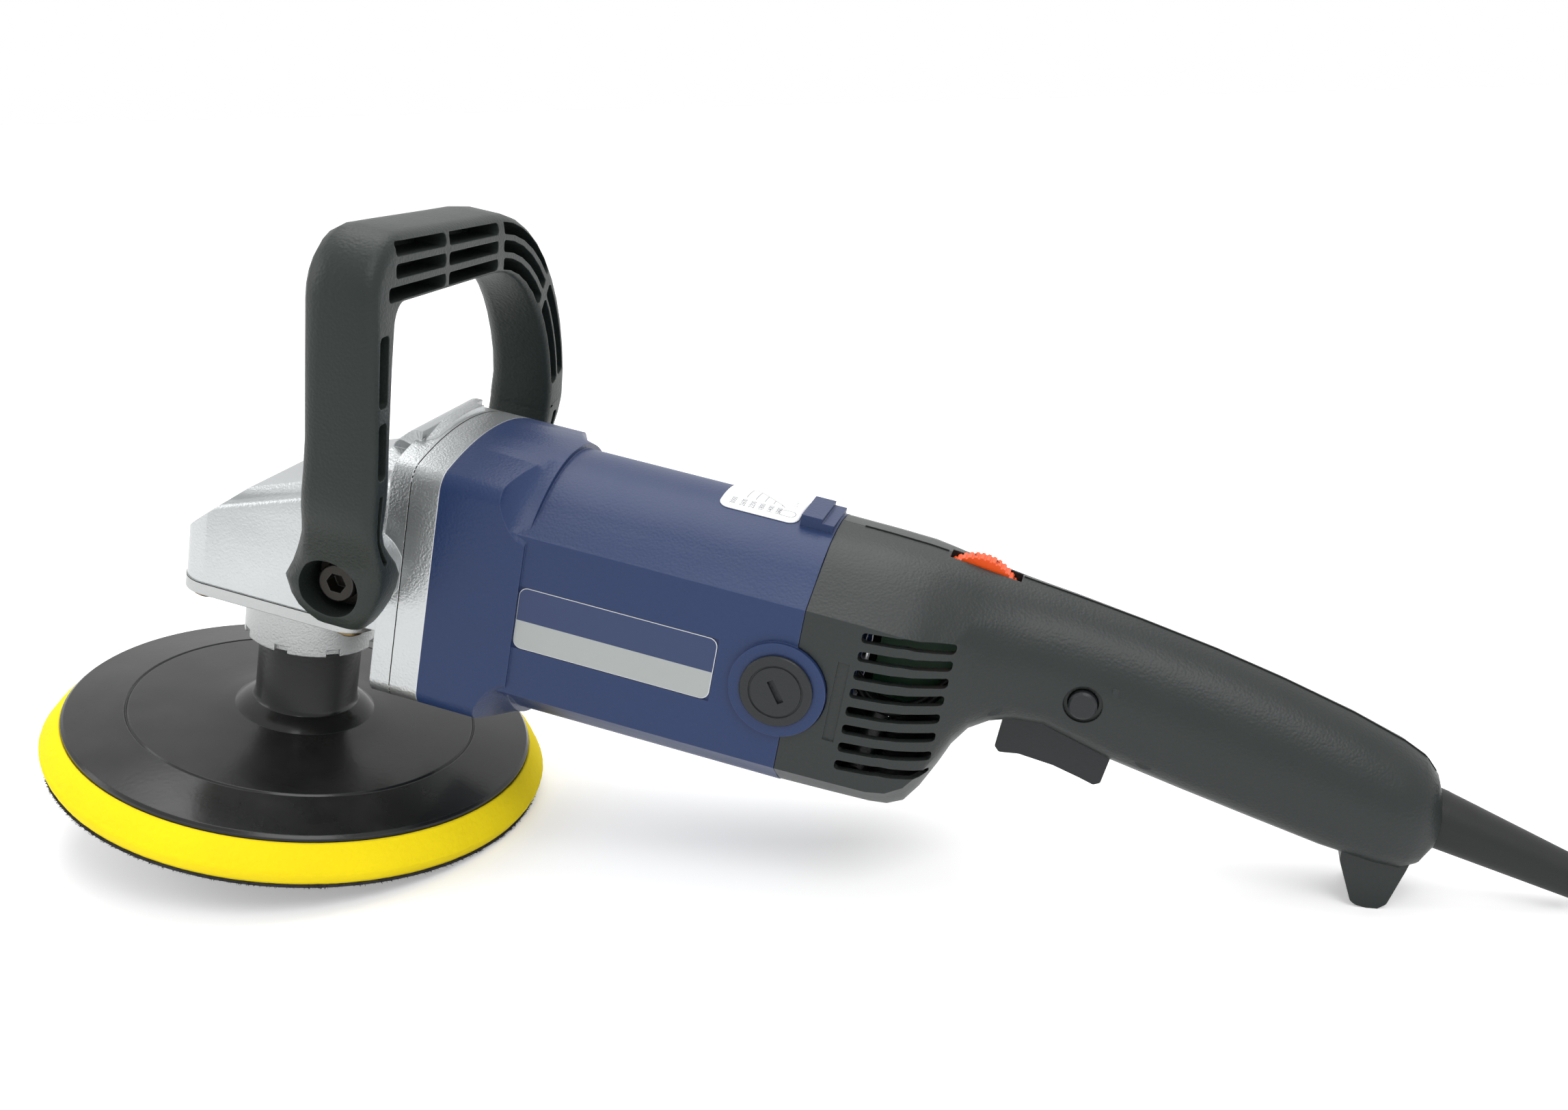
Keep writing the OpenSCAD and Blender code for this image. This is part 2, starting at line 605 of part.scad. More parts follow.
// pocket cut into the back of the loop through these rows, between two shares of the bar's width
function slot_edge(s, f) = [s[2] + (s[0] - s[2]) * f, s[3] + (s[1] - s[3]) * f - lean_z];
module back_slot(rows, f1, f2, depth) {
    n = len(rows) - 1;
    narrow = min([for (s = rows) norm([s[0] - s[2], s[1] - s[3]])]) * (f2 - f1);
    r = min(slot_round, 0.34 * narrow);
    translate([lean_x, 0, lean_z]) rotate([0, -lean, 0]) translate([-depth, 0, 0]) rotate([90, 0, 90])
        linear_extrude(height = depth + 10) offset(r = r, $fn = 16) offset(delta = -r)
            polygon(concat([for (i = [0 : n]) slot_edge(rows[i], f1)], [for (i = [n : -1 : 0]) slot_edge(rows[i], f2)]));
}

module loop_handle() {
    color([0.24, 0.26, 0.26]) rest_pose() difference() {
        loft([for (s = LOOP) loop_ring(s)]);
        both_sides() to_far(bolt_x, recess_y, bolt_z) cylinder(r = recess_r, h = 40);
        both_sides() to_far(bolt_x, handle_face_y - 2, bolt_z) cylinder(r = bolt_r + 0.3, h = 30);
        // three rows along the bar and round the broad corner
        for (f = [0.09, 0.4, 0.71]) {
            back_slot([bridge_row(f < 0.1 ? -71 : -66.5), bridge_row(-31.8)], f, f + 0.21, slot_depth);
            back_slot([bridge_row(-29.6), bridge_row(9.7)], f, f + 0.21, slot_depth);
            back_slot([for (a = [85 : -8 : 45]) far_bend_row(a)], f, f + 0.21, slot_depth);
        }
        // two rows down the broad corner, one row down each leg
        for (f = [0.12, 0.46])
            back_slot([for (a = [41.5 : -6.5 : 9]) far_bend_row(a)], f, f + 0.28, slot_depth);
        back_slot([far_row(134), far_row(129.5), far_row(124.5), far_row(119.5), far_row(114.5)], 0.4, 0.62, 8);
        back_slot([near_row(189), near_row(167.5)], 0.32, 0.72, slot_depth);
        back_slot([near_row(163), near_row(145.5)], 0.32, 0.72, slot_depth);
        back_slot([near_row(140.5), near_row(134.5), near_row(129.5), near_row(124.5), near_row(119.5), near_row(114.5)], 0.4, 0.62, 8);
    }
}

// socket-head bolt with its washer under the head
module handle_bolts() {
    color([0.3, 0.3, 0.31]) rest_pose() both_sides() difference() {
        union() {
            to_far(bolt_x, bolt_end_y, bolt_z) cylinder(r = bolt_r, h = recess_y - bolt_end_y + 2);
            to_far(bolt_x, recess_y, bolt_z) cylinder(r = recess_r - 0.9, h = 1.6);
            to_far(bolt_x, recess_y + 1.2, bolt_z) cylinder(r = bolt_head_r, h = 7.4);
            to_far(bolt_x, recess_y + 8.6, bolt_z) cylinder(r1 = bolt_head_r, r2 = bolt_head_r - 0.6, h = 0.6);
        }
        to_far(bolt_x, recess_y + 4, bolt_z) cylinder(r = 3.4, h = 10, $fn = 6);
    }
}

// ---------------------------------------------------------------- motor housing
// cove that turns the square front part into the barrel: distance behind hump_x, radius
COVE = [[0, 57.5], [1.2, 54.4], [2.8, 52], [5, 50], [7.6, 48.6], [11, 47.8]];
module housing_form() {
    intersection() {
        along_motor(motor_x) linear_extrude(height = barrel_x - motor_x) flange_outline();
        along_motor(hump_x) rotate_extrude($fn = 144) polygon(concat([[0, -30], [70, -30], [70, 0]],
            [for (p = COVE) [p[1], p[0] * (barrel_x - hump_x) / 11]], [[0, barrel_x - hump_x]]));
    }
    along_motor(motor_x) linear_extrude(height = rear_x - motor_x) barrel_outline(0);
}
boss_face_y = 41.6;
plate_recess = 0.6;
label_x = 90.1;
label_l = 67.3;
label_z = 87.2;
label_h = 21.4;
holder_r = 8;
spider_x = rear_bearing_x - 1.5;
module motor_housing() {
    color([0.13, 0.16, 0.36]) rest_pose() difference() {
        union() {
            difference() {
                housing_form();
                along_motor(motor_x - 1) linear_extrude(height = rear_x - motor_x + 2) barrel_outline(barrel_wall);
            }
            // bosses round the brushes, standing past the joint to the rear shell
            both_sides() to_far(brush_x, barrel_half_y - 7, axis_z - 0.3) cylinder(r = boss_r, h = boss_face_y - barrel_half_y + 7);
            // ribs that the stator stack rests against
            both_sides() translate([stack_x - 4.05, barrel_half_y - barrel_wall - 2, axis_z - 7]) cube([4, 3, 14]);
            // air baffle in front of the fan
            difference() {
                along_motor(hump_x + 4) linear_extrude(height = 2) barrel_outline(barrel_wall - 0.2);
                along_motor(hump_x + 3) cylinder(r = 27, h = 4);
            }
            // spider with the rear bearing seat
            along_motor(spider_x) ring(rear_bearing_r + 3, rear_bearing_r + seat, rear_bearing_w + 3);
            for (a = [45 : 90 : 315]) {
                along_motor(spider_x) rotate([0, 0, a]) translate([rear_bearing_r + 1, -4, 0]) cube([27, 8, 4]);
                along_motor(rear_x - 14) rotate([0, 0, a]) translate([34, -4, 0]) cube([11, 8, 14]);
                along_motor(rear_x - 2) rotate([0, 0, a]) translate([34, -4, 0]) cube([7, 8, spider_x + 5.2 - rear_x]);
            }
            // screw columns behind the flange
            for (i = [-1, 1])
                for (j = [-1, 1])
                    along_motor(motor_x) translate([i * housing_screw_y, j * housing_screw_z, 0]) cylinder(r = 5.5, h = 18);
            // raised block on top beside the joint
            translate([171, -12, axis_z + barrel_r - 1.5]) cube([7, 22, 4]);
            translate([175, -12, axis_z + barrel_r - 1.5]) cube([7, 22, 2.6]);
        }
        for (i = [-1, 1])
            for (j = [-1, 1])
                along_motor(motor_x - 1) translate([i * housing_screw_y, j * housing_screw_z, 0]) cylinder(r = screw_r + seat, h = 14);
        both_sides() to_far(brush_x, 30, axis_z - 0.3) cylinder(r = holder_r + seat, h = 30);
        // shallow bed of the name plate
        translate([label_x - 0.2, -barrel_half_y - 1, label_z - 0.2]) cube([label_l + 0.4, 1 + plate_recess, label_h + 0.4]);
    }
}

module stator_core() {
    color([0.42, 0.42, 0.44]) rest_pose() {
        along_motor(stack_x) linear_extrude(height = stack_l) difference() {
            barrel_outline(barrel_wall + seat);
            circle(r = core_r + air_gap);
            // windows for the field coils on both sides of the poles
            for (a = [0, 180])
                rotate(a) {
                    translate([-31, 9]) square([10, 16]);
                    translate([21, 9]) square([10, 16]);
                }
        }
    }
}

// one coil above and one below the armature, with end turns outside the stack
module field_coils() {
    color([0.72, 0.36, 0.16]) rest_pose() for (m = [0, 1])
        translate([0, 0, axis_z]) mirror([0, 0, m]) {
            for (y = [-30, 24.4])
                translate([stack_x - 6, y, 11]) cube([stack_l + 12, 5.6, 13]);
            for (x = [stack_x - 6, stack_x + stack_l + 1.4])
                translate([x, -30, 20]) cube([4.6, 60, 7]);
        }
}

module brush_holders() {
    color([0.78, 0.62, 0.28]) rest_pose() both_sides() difference() {
        to_far(brush_x, comm_r + 2.5, axis_z - 0.3) cylinder(r = holder_r, h = barrel_half_y - comm_r - 5.5);
        translate([brush_x - 4, comm_r, axis_z - 3.3]) cube([8, 40, 6]);
    }
}

module carbon_brushes() {
    color([0.12, 0.12, 0.12]) rest_pose() both_sides() difference() {
        translate([brush_x - 3.9, 10, axis_z - 3.2]) cube([7.8, 18, 5.8]);
        along_motor(brush_x - 10) cylinder(r = comm_r + 0.3, h = 20);
    }
}

module brush_springs() {
    color([0.6, 0.6, 0.62]) rest_pose() both_sides()
        for (i = [0 : 4])
            to_far(brush_x, 28.05 + 1.85 * i, axis_z - 0.3) ring(2.7, 1.6, i < 4 ? 1.86 : 1.4);
}

cap_face_y = 43;
module brush_caps() {
    color([0.1, 0.1, 0.105]) rest_pose() both_sides() difference() {
        union() {
            to_far(brush_x, 37.1, axis_z - 0.3) cylinder(r = holder_r - 0.05, h = 5);
            to_far(brush_x, boss_face_y, axis_z - 0.3) cylinder(r = cap_r, h = cap_face_y - boss_face_y - 0.4);
            to_far(brush_x, cap_face_y - 0.4, axis_z - 0.3) cylinder(r1 = cap_r, r2 = cap_r - 0.4, h = 0.4);
        }
        to_far(brush_x, cap_face_y - 0.5, axis_z - 0.3) ring(8.9, 8.2, 2);
        to_far(brush_x, cap_face_y - 1.3, axis_z - 0.3) rotate([0, 0, 54]) translate([-4, -1.1, 0]) cube([8, 2.2, 3]);
    }
}

module name_plate() {
    color([0.78, 0.79, 0.8]) rest_pose() translate([0, -barrel_half_y + plate_recess, 0]) rotate([90, 0, 0])
        translate([label_x + label_l / 2, label_z + label_h / 2, 0]) linear_extrude(height = 0.5) round_square(label_l, label_h, 3);
}

module speed_chart() {
    color([0.93, 0.93, 0.93]) rest_pose() along_motor(143) intersection() {
        ring(barrel_r + 0.35, barrel_r + 0.05, 27);
        translate([-12, 30, -1]) cube([24, 30, 40]);
    }
}

// ---------------------------------------------------------------- armature
module armature_shaft() {
    color([0.72, 0.73, 0.75]) rest_pose() union() {
        along_motor(gear_pitch_r - 9.4) cylinder(r = pinion_shaft_r, h = 25);
        along_motor(shaft_step_x) cylinder(r = shaft_r, h = 182 - shaft_step_x);
        along_motor(front_bearing_x + front_bearing_w + 0.2) cylinder(r = shaft_r + 2, h = 2.5);
        along_motor(180) cylinder(r = rear_journal_r, h = rear_bearing_x + rear_bearing_w + 2 - 180);
    }
}

function slot_angle(i) = 360 * i / 16;
module armature_core() {
    color([0.4, 0.4, 0.42]) rest_pose() difference() {
        along_motor(stack_x - 1) cylinder(r = core_r, h = stack_l + 2);
        along_motor(stack_x - 2) cylinder(r = shaft_r + seat, h = stack_l + 4);
        for (i = [0 : 15])
            along_motor(stack_x - 2) rotate([0, 0, slot_angle(i)]) {
                translate([core_r - 6, 0, 0]) cylinder(r = 2.4, h = stack_l + 4, $fn = 24);
                translate([core_r - 6, -1, 0]) cube([8, 2, stack_l + 4]);
            }
    }
}

module armature_windings() {
    color([0.74, 0.38, 0.16]) rest_pose() union() {
        for (i = [0 : 15])
            along_motor(stack_x - 3) rotate([0, 0, slot_angle(i)])
                translate([core_r - 6, 0, 0]) cylinder(r = 2.3, h = stack_l + 6, $fn = 24);
        along_motor(stack_x - 9.2) rotate_extrude() polygon([[shaft_r + 0.1, 0], [14, 0], [18.5, 3], [18.5, 8], [shaft_r + 0.1, 8]]);
        along_motor(stack_x + stack_l + 1.2) rotate_extrude() polygon([[shaft_r + 0.1, 0], [18.5, 0], [18.5, 5], [13, 10], [shaft_r + 0.1, 10]]);
    }
}

module commutator() {
    color([0.76, 0.47, 0.22]) rest_pose() difference() {
        union() {
            along_motor(brush_x - 8) cylinder(r = comm_r, h = 16);
            along_motor(brush_x - 12) cylinder(r = comm_r + 1.6, h = 4.2);
        }
        along_motor(brush_x - 15) cylinder(r = shaft_r + seat, h = 17);
        along_motor(brush_x - 15) cylinder(r = rear_journal_r + seat, h = 30);
        along_motor(brush_x - 15) cylinder(r = shaft_r + seat, h = 182 - brush_x + 15.2);
        for (i = [0 : 15])
            along_motor(brush_x - 13) rotate([0, 0, slot_angle(i)]) translate([comm_r - 0.8, -0.3, 0]) cube([6, 0.6, 30]);
    }
}

fan_x = motor_x + 7;
module cooling_fan() {
    color([0.2, 0.2, 0.21]) rest_pose() difference() {
        union() {
            along_motor(fan_x) cylinder(r = fan_r, h = 2);
            along_motor(fan_x) cylinder(r = shaft_r + 6, h = 16);
            for (i = [0 : fan_blades - 1])
                along_motor(fan_x) rotate([0, 0, 360 * i / fan_blades])
                    translate([shaft_r + 5, 0, 0]) rotate([0, 0, -18]) translate([0, -0.8, 0]) cube([fan_r - shaft_r - 7, 1.6, 13]);
            along_motor(fan_x + 12) ring(fan_r - 1, fan_r - 8, 1.5);
        }
        along_motor(fan_x - 1) cylinder(r = shaft_r + seat, h = 20);
    }
}

module bevel_pinion() {
    small = 1 - tooth_len / sqrt(gear_pitch_r * gear_pitch_r + pinion_pitch_r * pinion_pitch_r);
    color([0.58, 0.59, 0.61]) rest_pose() difference() {
        union() {
            along_motor(0) bevel_teeth(pinion_teeth, pinion_pitch_r, gear_pitch_r, tooth_len, 0.78 * module_size, root_drop);
            along_motor(gear_pitch_r * small) cylinder(r1 = (pinion_pitch_r - root_drop) * small + 0.1,
                r2 = pinion_pitch_r - root_drop + 0.1, h = gear_pitch_r * (1 - small) + 0.1);
            along_motor(gear_pitch_r) cylinder(r1 = pinion_pitch_r - root_drop, r2 = 8, h = 3.5);
            along_motor(gear_pitch_r + 3.4) cylinder(r = 8, h = 6);
        }
        along_motor(0) cylinder(r = pinion_shaft_r + seat, h = 60);
    }
}

module front_bearing() {
    color([0.66, 0.67, 0.69]) rest_pose() along_motor(front_bearing_x)
        bearing(front_bearing_r, shaft_r + run_fit, front_bearing_w);
}

module rear_bearing() {
    color([0.66, 0.67, 0.69]) rest_pose() along_motor(rear_bearing_x)
        bearing(rear_bearing_r, rear_journal_r + run_fit, rear_bearing_w);
}

// ---------------------------------------------------------------- rear shell
// stations along the shell: x, top, bottom, half width
STATIONS = [
    [rear_x + 0.2, 144, 52, 40], [200, 143.7, 52.5, 40], [213, 143.2, 53, 40], [219, 142.7, 53.8, 38.6],
    [224, 142.4, 56.6, 36.2], [228, 142.1, 63.4, 34], [232, 141.7, 73, 31], [235, 141.4, 81.5, 28.5],
    [239, 141, 88.3, 26.4], [245, 140.4, 92.6, 24], [252, 139.7, 95, 22], [262, 138.8, 95.6, grip_half + 1],
    [285, 136.2, 89.6, grip_half], [309, 132.9, 86.1, grip_half], [331, 129, 83.2, grip_half], [355, 123.8, 80.2, grip_half],
    [372, 119, 79.2, grip_half], [380, 115.6, 79.4, grip_half - 1.5], [385, 110.8, 82, grip_half - 4.5], [388.2, 104.5, 87.5, grip_half - 8.5]];
HALF_RAYS = [-90, -79, -68, -57, -46, -34.8, -23, -12, 0, 12, 23, 34.8, 46, 57, 68, 79, 90];
function egg(a, half, h, n) = pow(pow(abs(cos(a)) / half, n) + pow(abs(sin(a)) / h, n), -1 / n);
// point of the far half's skin on ray a of station s, moved in by o; the ends lie on the plane y = cut
function shell_point(a, s, o, cut) =
    let (t = smooth((s[0] - 213) / 34), zc = s[2] + (s[1] - s[2]) * (0.5 - 0.07 * t))
    let (up = a >= 0, h = up ? s[1] - o - zc : zc - s[2] - o, half = s[3] - o)
    let (g = egg(a, half, h, up ? 1.85 : 2.8), b = barrel_ray(a + 360))
    let (by = b * cos(a) * half / barrel_half_y, bz = b * sin(a) * h / barrel_r)
    [s[0], abs(a) == 90 ? cut : (1 - t) * by + t * g * cos(a), zc + (1 - t) * bz + t * g * sin(a)];
module shell_form(o, cut) {
    last = len(STATIONS) - 1;
    loft([for (i = [0 : last]) let (s = STATIONS[i])
        [for (a = HALF_RAYS) shell_point(a, s, o, cut) + [i == 0 ? -o : i == last ? -o * 0.9 : 0, 0, 0]]]);
}

foot_half_y = 12;
// far half of the post under the grip's tail that the tool rests on
module tail_foot() {
    translate([0, foot_half_y, 0]) rotate([90, 0, 0]) linear_extrude(height = foot_half_y - split_gap / 2)
        offset(r = 2.5) offset(delta = -2.5)
            polygon([[361, 92], [362.6, 78.5], [369.6, foot_z + 0.9], [371.6, foot_z], [377.5, foot_z], [380.4, foot_z + 3],
                     [382.6, 81], [384, 92]]);
}

// posts for the screws that hold the two halves: x, z, length from the middle into the wall
POSTS = [[206, 66, 24], [206, 130, 24], [244, 104, 21.4], [296, 98, 16.6], [340, 106, 17.6], [366, 89, 16]];
post_r = 4.6;
trigger_x0 = 247.3;
trigger_x1 = 288;
dial_x = 230.5;
dial_z = 129.6;
lock_x = 272.2;
lock_z = 110.7;
shell_screw_r = 1.8;
guard_slope = 9.6;
guard_x = 388;
guard_z = 96.3;
guard_root_r = 9.5;
vent_left = 201.5;
vent_bend = 215.2;
vent_right = 230.2;
vent_top = 121.9;
module vent_cut(i) {
    z = vent_top - vent_pitch * i;
    fan = 2.4 * sin(180 * (i + 0.2) / vents);
    translate([0, 48, 0]) rotate([90, 0, 0]) linear_extrude(height = 24) offset(r = 1.2, $fn = 16) offset(delta = -1.2)
        polygon([[vent_left, z - vent_h / 2], [vent_bend, z + 1.3 - vent_h / 2], [vent_right, z + fan - vent_h / 2],
                 [vent_right, z + fan + vent_h / 2], [vent_bend, z + 1.3 + vent_h / 2], [vent_left, z + vent_h / 2]]);
}
// far half; the near one is its mirror image, with blind screw posts and the lock button's hole
module shell_half(far) {
    difference() {
        union() {
            difference() {
                union() {
                    shell_form(0, split_gap / 2);
                    tail_foot();
                }
                shell_form(shell_wall, -2);
                for (i = [0 : vents - 1]) vent_cut(i);
                // shallow bare strip beside the vents
                translate([196, barrel_half_y - 0.6, 84.8]) cube([3.7, 2, 27.2]);
            }
            for (p = POSTS)
                translate([p[0], split_gap / 2, p[1]]) rotate([-90, 0, 0]) cylinder(r = post_r, h = p[2]);
            // ribs that carry the switch
            for (x = [255, 280])
                translate([x, 9.1, 110]) cube([2, 10, 8]);
            if (far) {
                // ribs that carry the speed board
                translate([210, 7.7, 112]) cube([1.8, 30.5, 10]);
                translate([238.6, 7.7, 110]) cube([1.8, 17.6, 8]);
            }
        }
        for (p = POSTS) {
            translate([p[0], -1, p[1]]) rotate([-90, 0, 0]) cylinder(r = shell_screw_r + seat, h = far ? 40 : p[2] - 2);
            if (far) translate([p[0], p[2] - 5, p[1]]) rotate([-90, 0, 0]) cylinder(r = 3.5, h = 30);
        }
        translate([trigger_x0, -1, 70]) cube([trigger_x1 - trigger_x0, trigger_w / 2 + gap + 1.2, 32]);
        translate([dial_x - 10.5, -1, 134]) cube([21, dial_t / 2 + 2, 20]);
        to_far(pivot_x, 0, pivot_z) cylinder(r = 1.5 + seat, h = pin_half + 0.2);
        // room for the dial under the slot
        translate([dial_x - 13.5, -1, 128]) cube([27, dial_t / 2 + 2, 13.1]);
        if (!far) {
            to_far(lock_x, 0, lock_z) cylinder(r = lock_r + gap, h = 40);
            to_far(lock_x, grip_half - 1.2, lock_z) cylinder(r = lock_r + 1.6, h = 10);
        }
        to_far(brush_x, 20, axis_z - 0.3) cylinder(r = boss_r + gap, h = 40);
        translate([guard_x, 0, guard_z]) rotate([0, 90 + guard_slope, 0]) translate([0, 0, -18]) cylinder(r = guard_root_r + 0.1, h = 40);
    }
}

module rear_shell_near() {
    color([0.15, 0.155, 0.16]) rest_pose() mirror([0, 1, 0]) shell_half(false);
}
module rear_shell_far() {
    color([0.15, 0.155, 0.16]) rest_pose() shell_half(true);
}

module shell_screws() {
    color([0.35, 0.35, 0.36]) rest_pose() for (p = POSTS)
        translate([p[0], p[2] - 5, p[1]]) rotate([90, 0, 0]) difference() {
            union() {
                translate([0, 0, -2]) cylinder(r = 3.2, h = 2);
                translate([0, 0, -0.5]) cylinder(r = shell_screw_r, h = p[2] + 2);
            }
            for (a = [0, 90]) rotate([0, 0, a]) translate([0, 0, -2]) cube([3.8, 0.8, 2], center = true);
        }
}

// thumb wheel on the speed board's shaft
module speed_dial() {
    color([0.95, 0.42, 0.08]) rest_pose() difference() {
        translate([dial_x, dial_t / 2, dial_z]) rotate([90, 0, 0]) cylinder(r = dial_r, h = dial_t);
        translate([dial_x, dial_t, dial_z]) rotate([90, 0, 0]) cylinder(r = 2.5 + run_fit, h = 2 * dial_t);
        for (i = [0 : 44])
            translate([dial_x, 0, dial_z]) rotate([0, 8 * i, 0]) translate([dial_r, dial_t, 0]) rotate([90, 0, 0])
                cylinder(r = 0.5, h = 2 * dial_t, $fn = 12);
    }
}

module speed_board() {
    color([0.1, 0.35, 0.2]) rest_pose() union() {
        translate([211.5, 6, 96]) cube([26.9, 1.6, 40]);
        translate([211.5, 6, 84]) cube([20, 1.6, 13]);
        translate([203, 6, 84]) cube([9, 1.6, 36]);
        translate([dial_x, 9.6, dial_z]) rotate([90, 0, 0]) cylinder(r = 6.6, h = 5);
        translate([dial_x, 6, dial_z]) rotate([90, 0, 0]) cylinder(r = 2.5, h = 9.5);
        translate([212, 7.4, 108]) cube([12, 7, 10]);
        translate([228, 7.4, 108]) cube([10, 5, 8]);
        // potted control module behind the upper vents
        translate([212.4, 7.4, 85]) cube([19, 11, 22]);
    }
}

pivot_x = 284;
pivot_z = 97;
trigger_swing = 7;
module trigger() {
    color([0.1, 0.1, 0.105]) rest_pose() difference() {
        union() {
            translate([0, trigger_w / 2, 0]) rotate([90, 0, 0]) linear_extrude(height = trigger_w)
                offset(r = 1.2) offset(delta = -1.2)
                    polygon([[249.3, 98], [248.6, 84], [250.4, 82.3], [256.8, 83.5], [268.4, 82.8], [277.5, 81], [282.5, 79.8],
                             [284.6, 81], [285.6, 91], [286.6, 98], [284, 100], [258, 99]]);
            translate([pivot_x, trigger_w / 2, pivot_z]) rotate([90, 0, 0]) cylinder(r = 3.4, h = trigger_w);
        }
        translate([pivot_x, 30, pivot_z]) rotate([90, 0, 0]) cylinder(r = 1.5 + run_fit, h = 60);
    }
}

module trigger_pin() {
    color([0.68, 0.69, 0.7]) rest_pose()
        translate([pivot_x, pin_half, pivot_z]) rotate([90, 0, 0]) cylinder(r = 1.5, h = 2 * pin_half);
}
pin_half = trigger_w / 2 + 4.4;

module switch_body() {
    color([0.18, 0.18, 0.19]) rest_pose() union() {
        translate([252, -9, 106.5]) cube([32, 18, 17]);
        translate([262, -3, 104]) cube([6, 6, 3]);
        translate([284, -6, 112]) cube([5, 4, 4]);
        translate([284, 2, 112]) cube([5, 4, 4]);
    }
}

module lock_button() {
    color([0.12, 0.12, 0.125]) rest_pose() union() {
        to_near(lock_x, -11.5, lock_z) cylinder(r = lock_r, h = 9.2);
        to_near(lock_x, -20.7, lock_z) cylinder(r1 = lock_r, r2 = lock_r - 0.7, h = 0.7);
    }
}

// ---------------------------------------------------------------- cord
guard_l = 48;
cord_r = cord_d / 2;
module on_guard_axis(d) { translate([guard_x, 0, guard_z]) rotate([0, 90 + guard_slope, 0]) translate([0, 0, d]) children(); }
module cord_guard() {
    color([0.1, 0.1, 0.105]) rest_pose() difference() {
        union() {
            on_guard_axis(-12) cylinder(r = guard_root_r, h = 13);
            on_guard_axis(0) cylinder(r1 = guard_root_r, r2 = 6.6, h = guard_l - 1);
            on_guard_axis(guard_l - 1) cylinder(r1 = 6.6, r2 = 5.8, h = 1);
        }
        on_guard_axis(-20) cylinder(r = cord_r + seat, h = 90);
    }
}

module cord_clamp() {
    color([0.14, 0.14, 0.15]) rest_pose() difference() {
        translate([357, -12.9, guard_z + (guard_x - 357) * tan(guard_slope) + cord_r + 0.1]) cube([8, 25.8, 4]);
        for (y = [-9, 9]) translate([361, y, 90]) cylinder(r = 1.6, h = 30);
    }
}

// points along the cord on the ground and up to the guard, in the rest pose
cord_floor = floor_z + cord_r + 0.1;
tail = [guard_x * cos(tilt) + guard_z * sin(tilt), -guard_x * sin(tilt) + guard_z * cos(tilt)];
cord_fall = tilt + guard_slope;
function tail_point(d) = [tail[0] + d * cos(cord_fall), 0, tail[1] - d * sin(cord_fall)];
fall_end = tail_point(guard_l + 4);
coil_x = 524;
coil_y = coil_r + (coil_columns - 1) * cord_d / 2;
lead_x = 492;
CORD_PATH = concat([for (d = [-34 : 8 : guard_l + 4]) tail_point(d)],
    [for (i = [1 : 7]) let (t = i / 8, x = fall_end[0] + 30 * t)
        [x, 0, cord_floor + (fall_end[2] - cord_floor) * pow(1 - t, 2)]],
    [[fall_end[0] + 30, 0, cord_floor], [lead_x, 0, cord_floor]]);
function path_dir(i) = let (a = CORD_PATH[max(0, i - 1)], b = CORD_PATH[min(len(CORD_PATH) - 1, i + 1)]) (b - a) / norm(b - a);
function cord_ring(i) = let (c = CORD_PATH[i], d = path_dir(i))
    [for (k = [0 : 11]) [c[0] + cord_r * sin(30 * k) * -d[2], c[1] + cord_r * cos(30 * k), c[2] + cord_r * sin(30 * k) * d[0]]];
module power_cord() {
    color([0.08, 0.08, 0.085]) loft([for (i = [0 : len(CORD_PATH) - 1]) cord_ring(i)]);
}

plug_y = coil_y + 62;
plug_x = coil_x + coil_y;
lead_rise = 8;
module cord_coil() {
    color([0.08, 0.08, 0.085]) union() {
        translate([coil_x, coil_y, cord_floor]) rotate_extrude($fn = 96)
            translate([coil_r, 0]) {
                translate([-(coil_columns - 1) / 2 * cord_d, 0]) square([(coil_columns - 1) * cord_d, (coil_layers - 1) * cord_d]);
                for (i = [0 : coil_columns - 1])
                    for (j = [0 : coil_layers - 1])
                        translate([(i - (coil_columns - 1) / 2) * cord_d, j * cord_d]) circle(r = cord_r, $fn = 48);
            }
        translate([lead_x, 0, cord_floor]) rotate([0, 90, 0]) cylinder(r = cord_r - 0.1, h = coil_x - lead_x + 3);
        translate([plug_x, coil_y - 3, cord_floor]) rotate([-90, 0, 0]) cylinder(r = cord_r - 0.1, h = 33);
        translate([plug_x, coil_y + 30, cord_floor]) sphere(r = cord_r - 0.1);
        translate([plug_x, coil_y + 30, cord_floor]) rotate([-90 + lead_rise, 0, 0]) cylinder(r = cord_r - 0.1, h = 36);
    }
}

plug_z = floor_z + 10.5;
module plug_body() {
    color([0.09, 0.09, 0.095]) difference() {
        union() {
            hull() {
                translate([plug_x, plug_y - 14, plug_z - 2]) rotate([-90, 0, 0]) cylinder(r = 6, h = 1, $fn = 32);
                translate([plug_x, plug_y + 14, plug_z]) rotate([-90, 0, 0]) linear_extrude(height = 1) round_square(24, 19, 7);
            }
            hull() {
                translate([plug_x, plug_y + 14, plug_z]) rotate([-90, 0, 0]) linear_extrude(height = 1) round_square(24, 19, 7);
                translate([plug_x, plug_y + 24, plug_z]) rotate([-90, 0, 0]) linear_extrude(height = 1) round_square(35, 20.4, 8);
            }
            translate([plug_x, plug_y + 24.5, plug_z]) rotate([-90, 0, 0]) linear_extrude(height = 13) round_square(35, 20.4, 8);
        }
        translate([plug_x, coil_y + 30, cord_floor]) rotate([-90 + lead_rise, 0, 0]) cylinder(r = cord_r + seat, h = 36.2);
        for (i = [-1, 1])
            translate([plug_x + 9.5 * i, plug_y + 30, plug_z]) rotate([-90, 0, 0]) cylinder(r = 2.4 + seat, h = 30);
    }
}

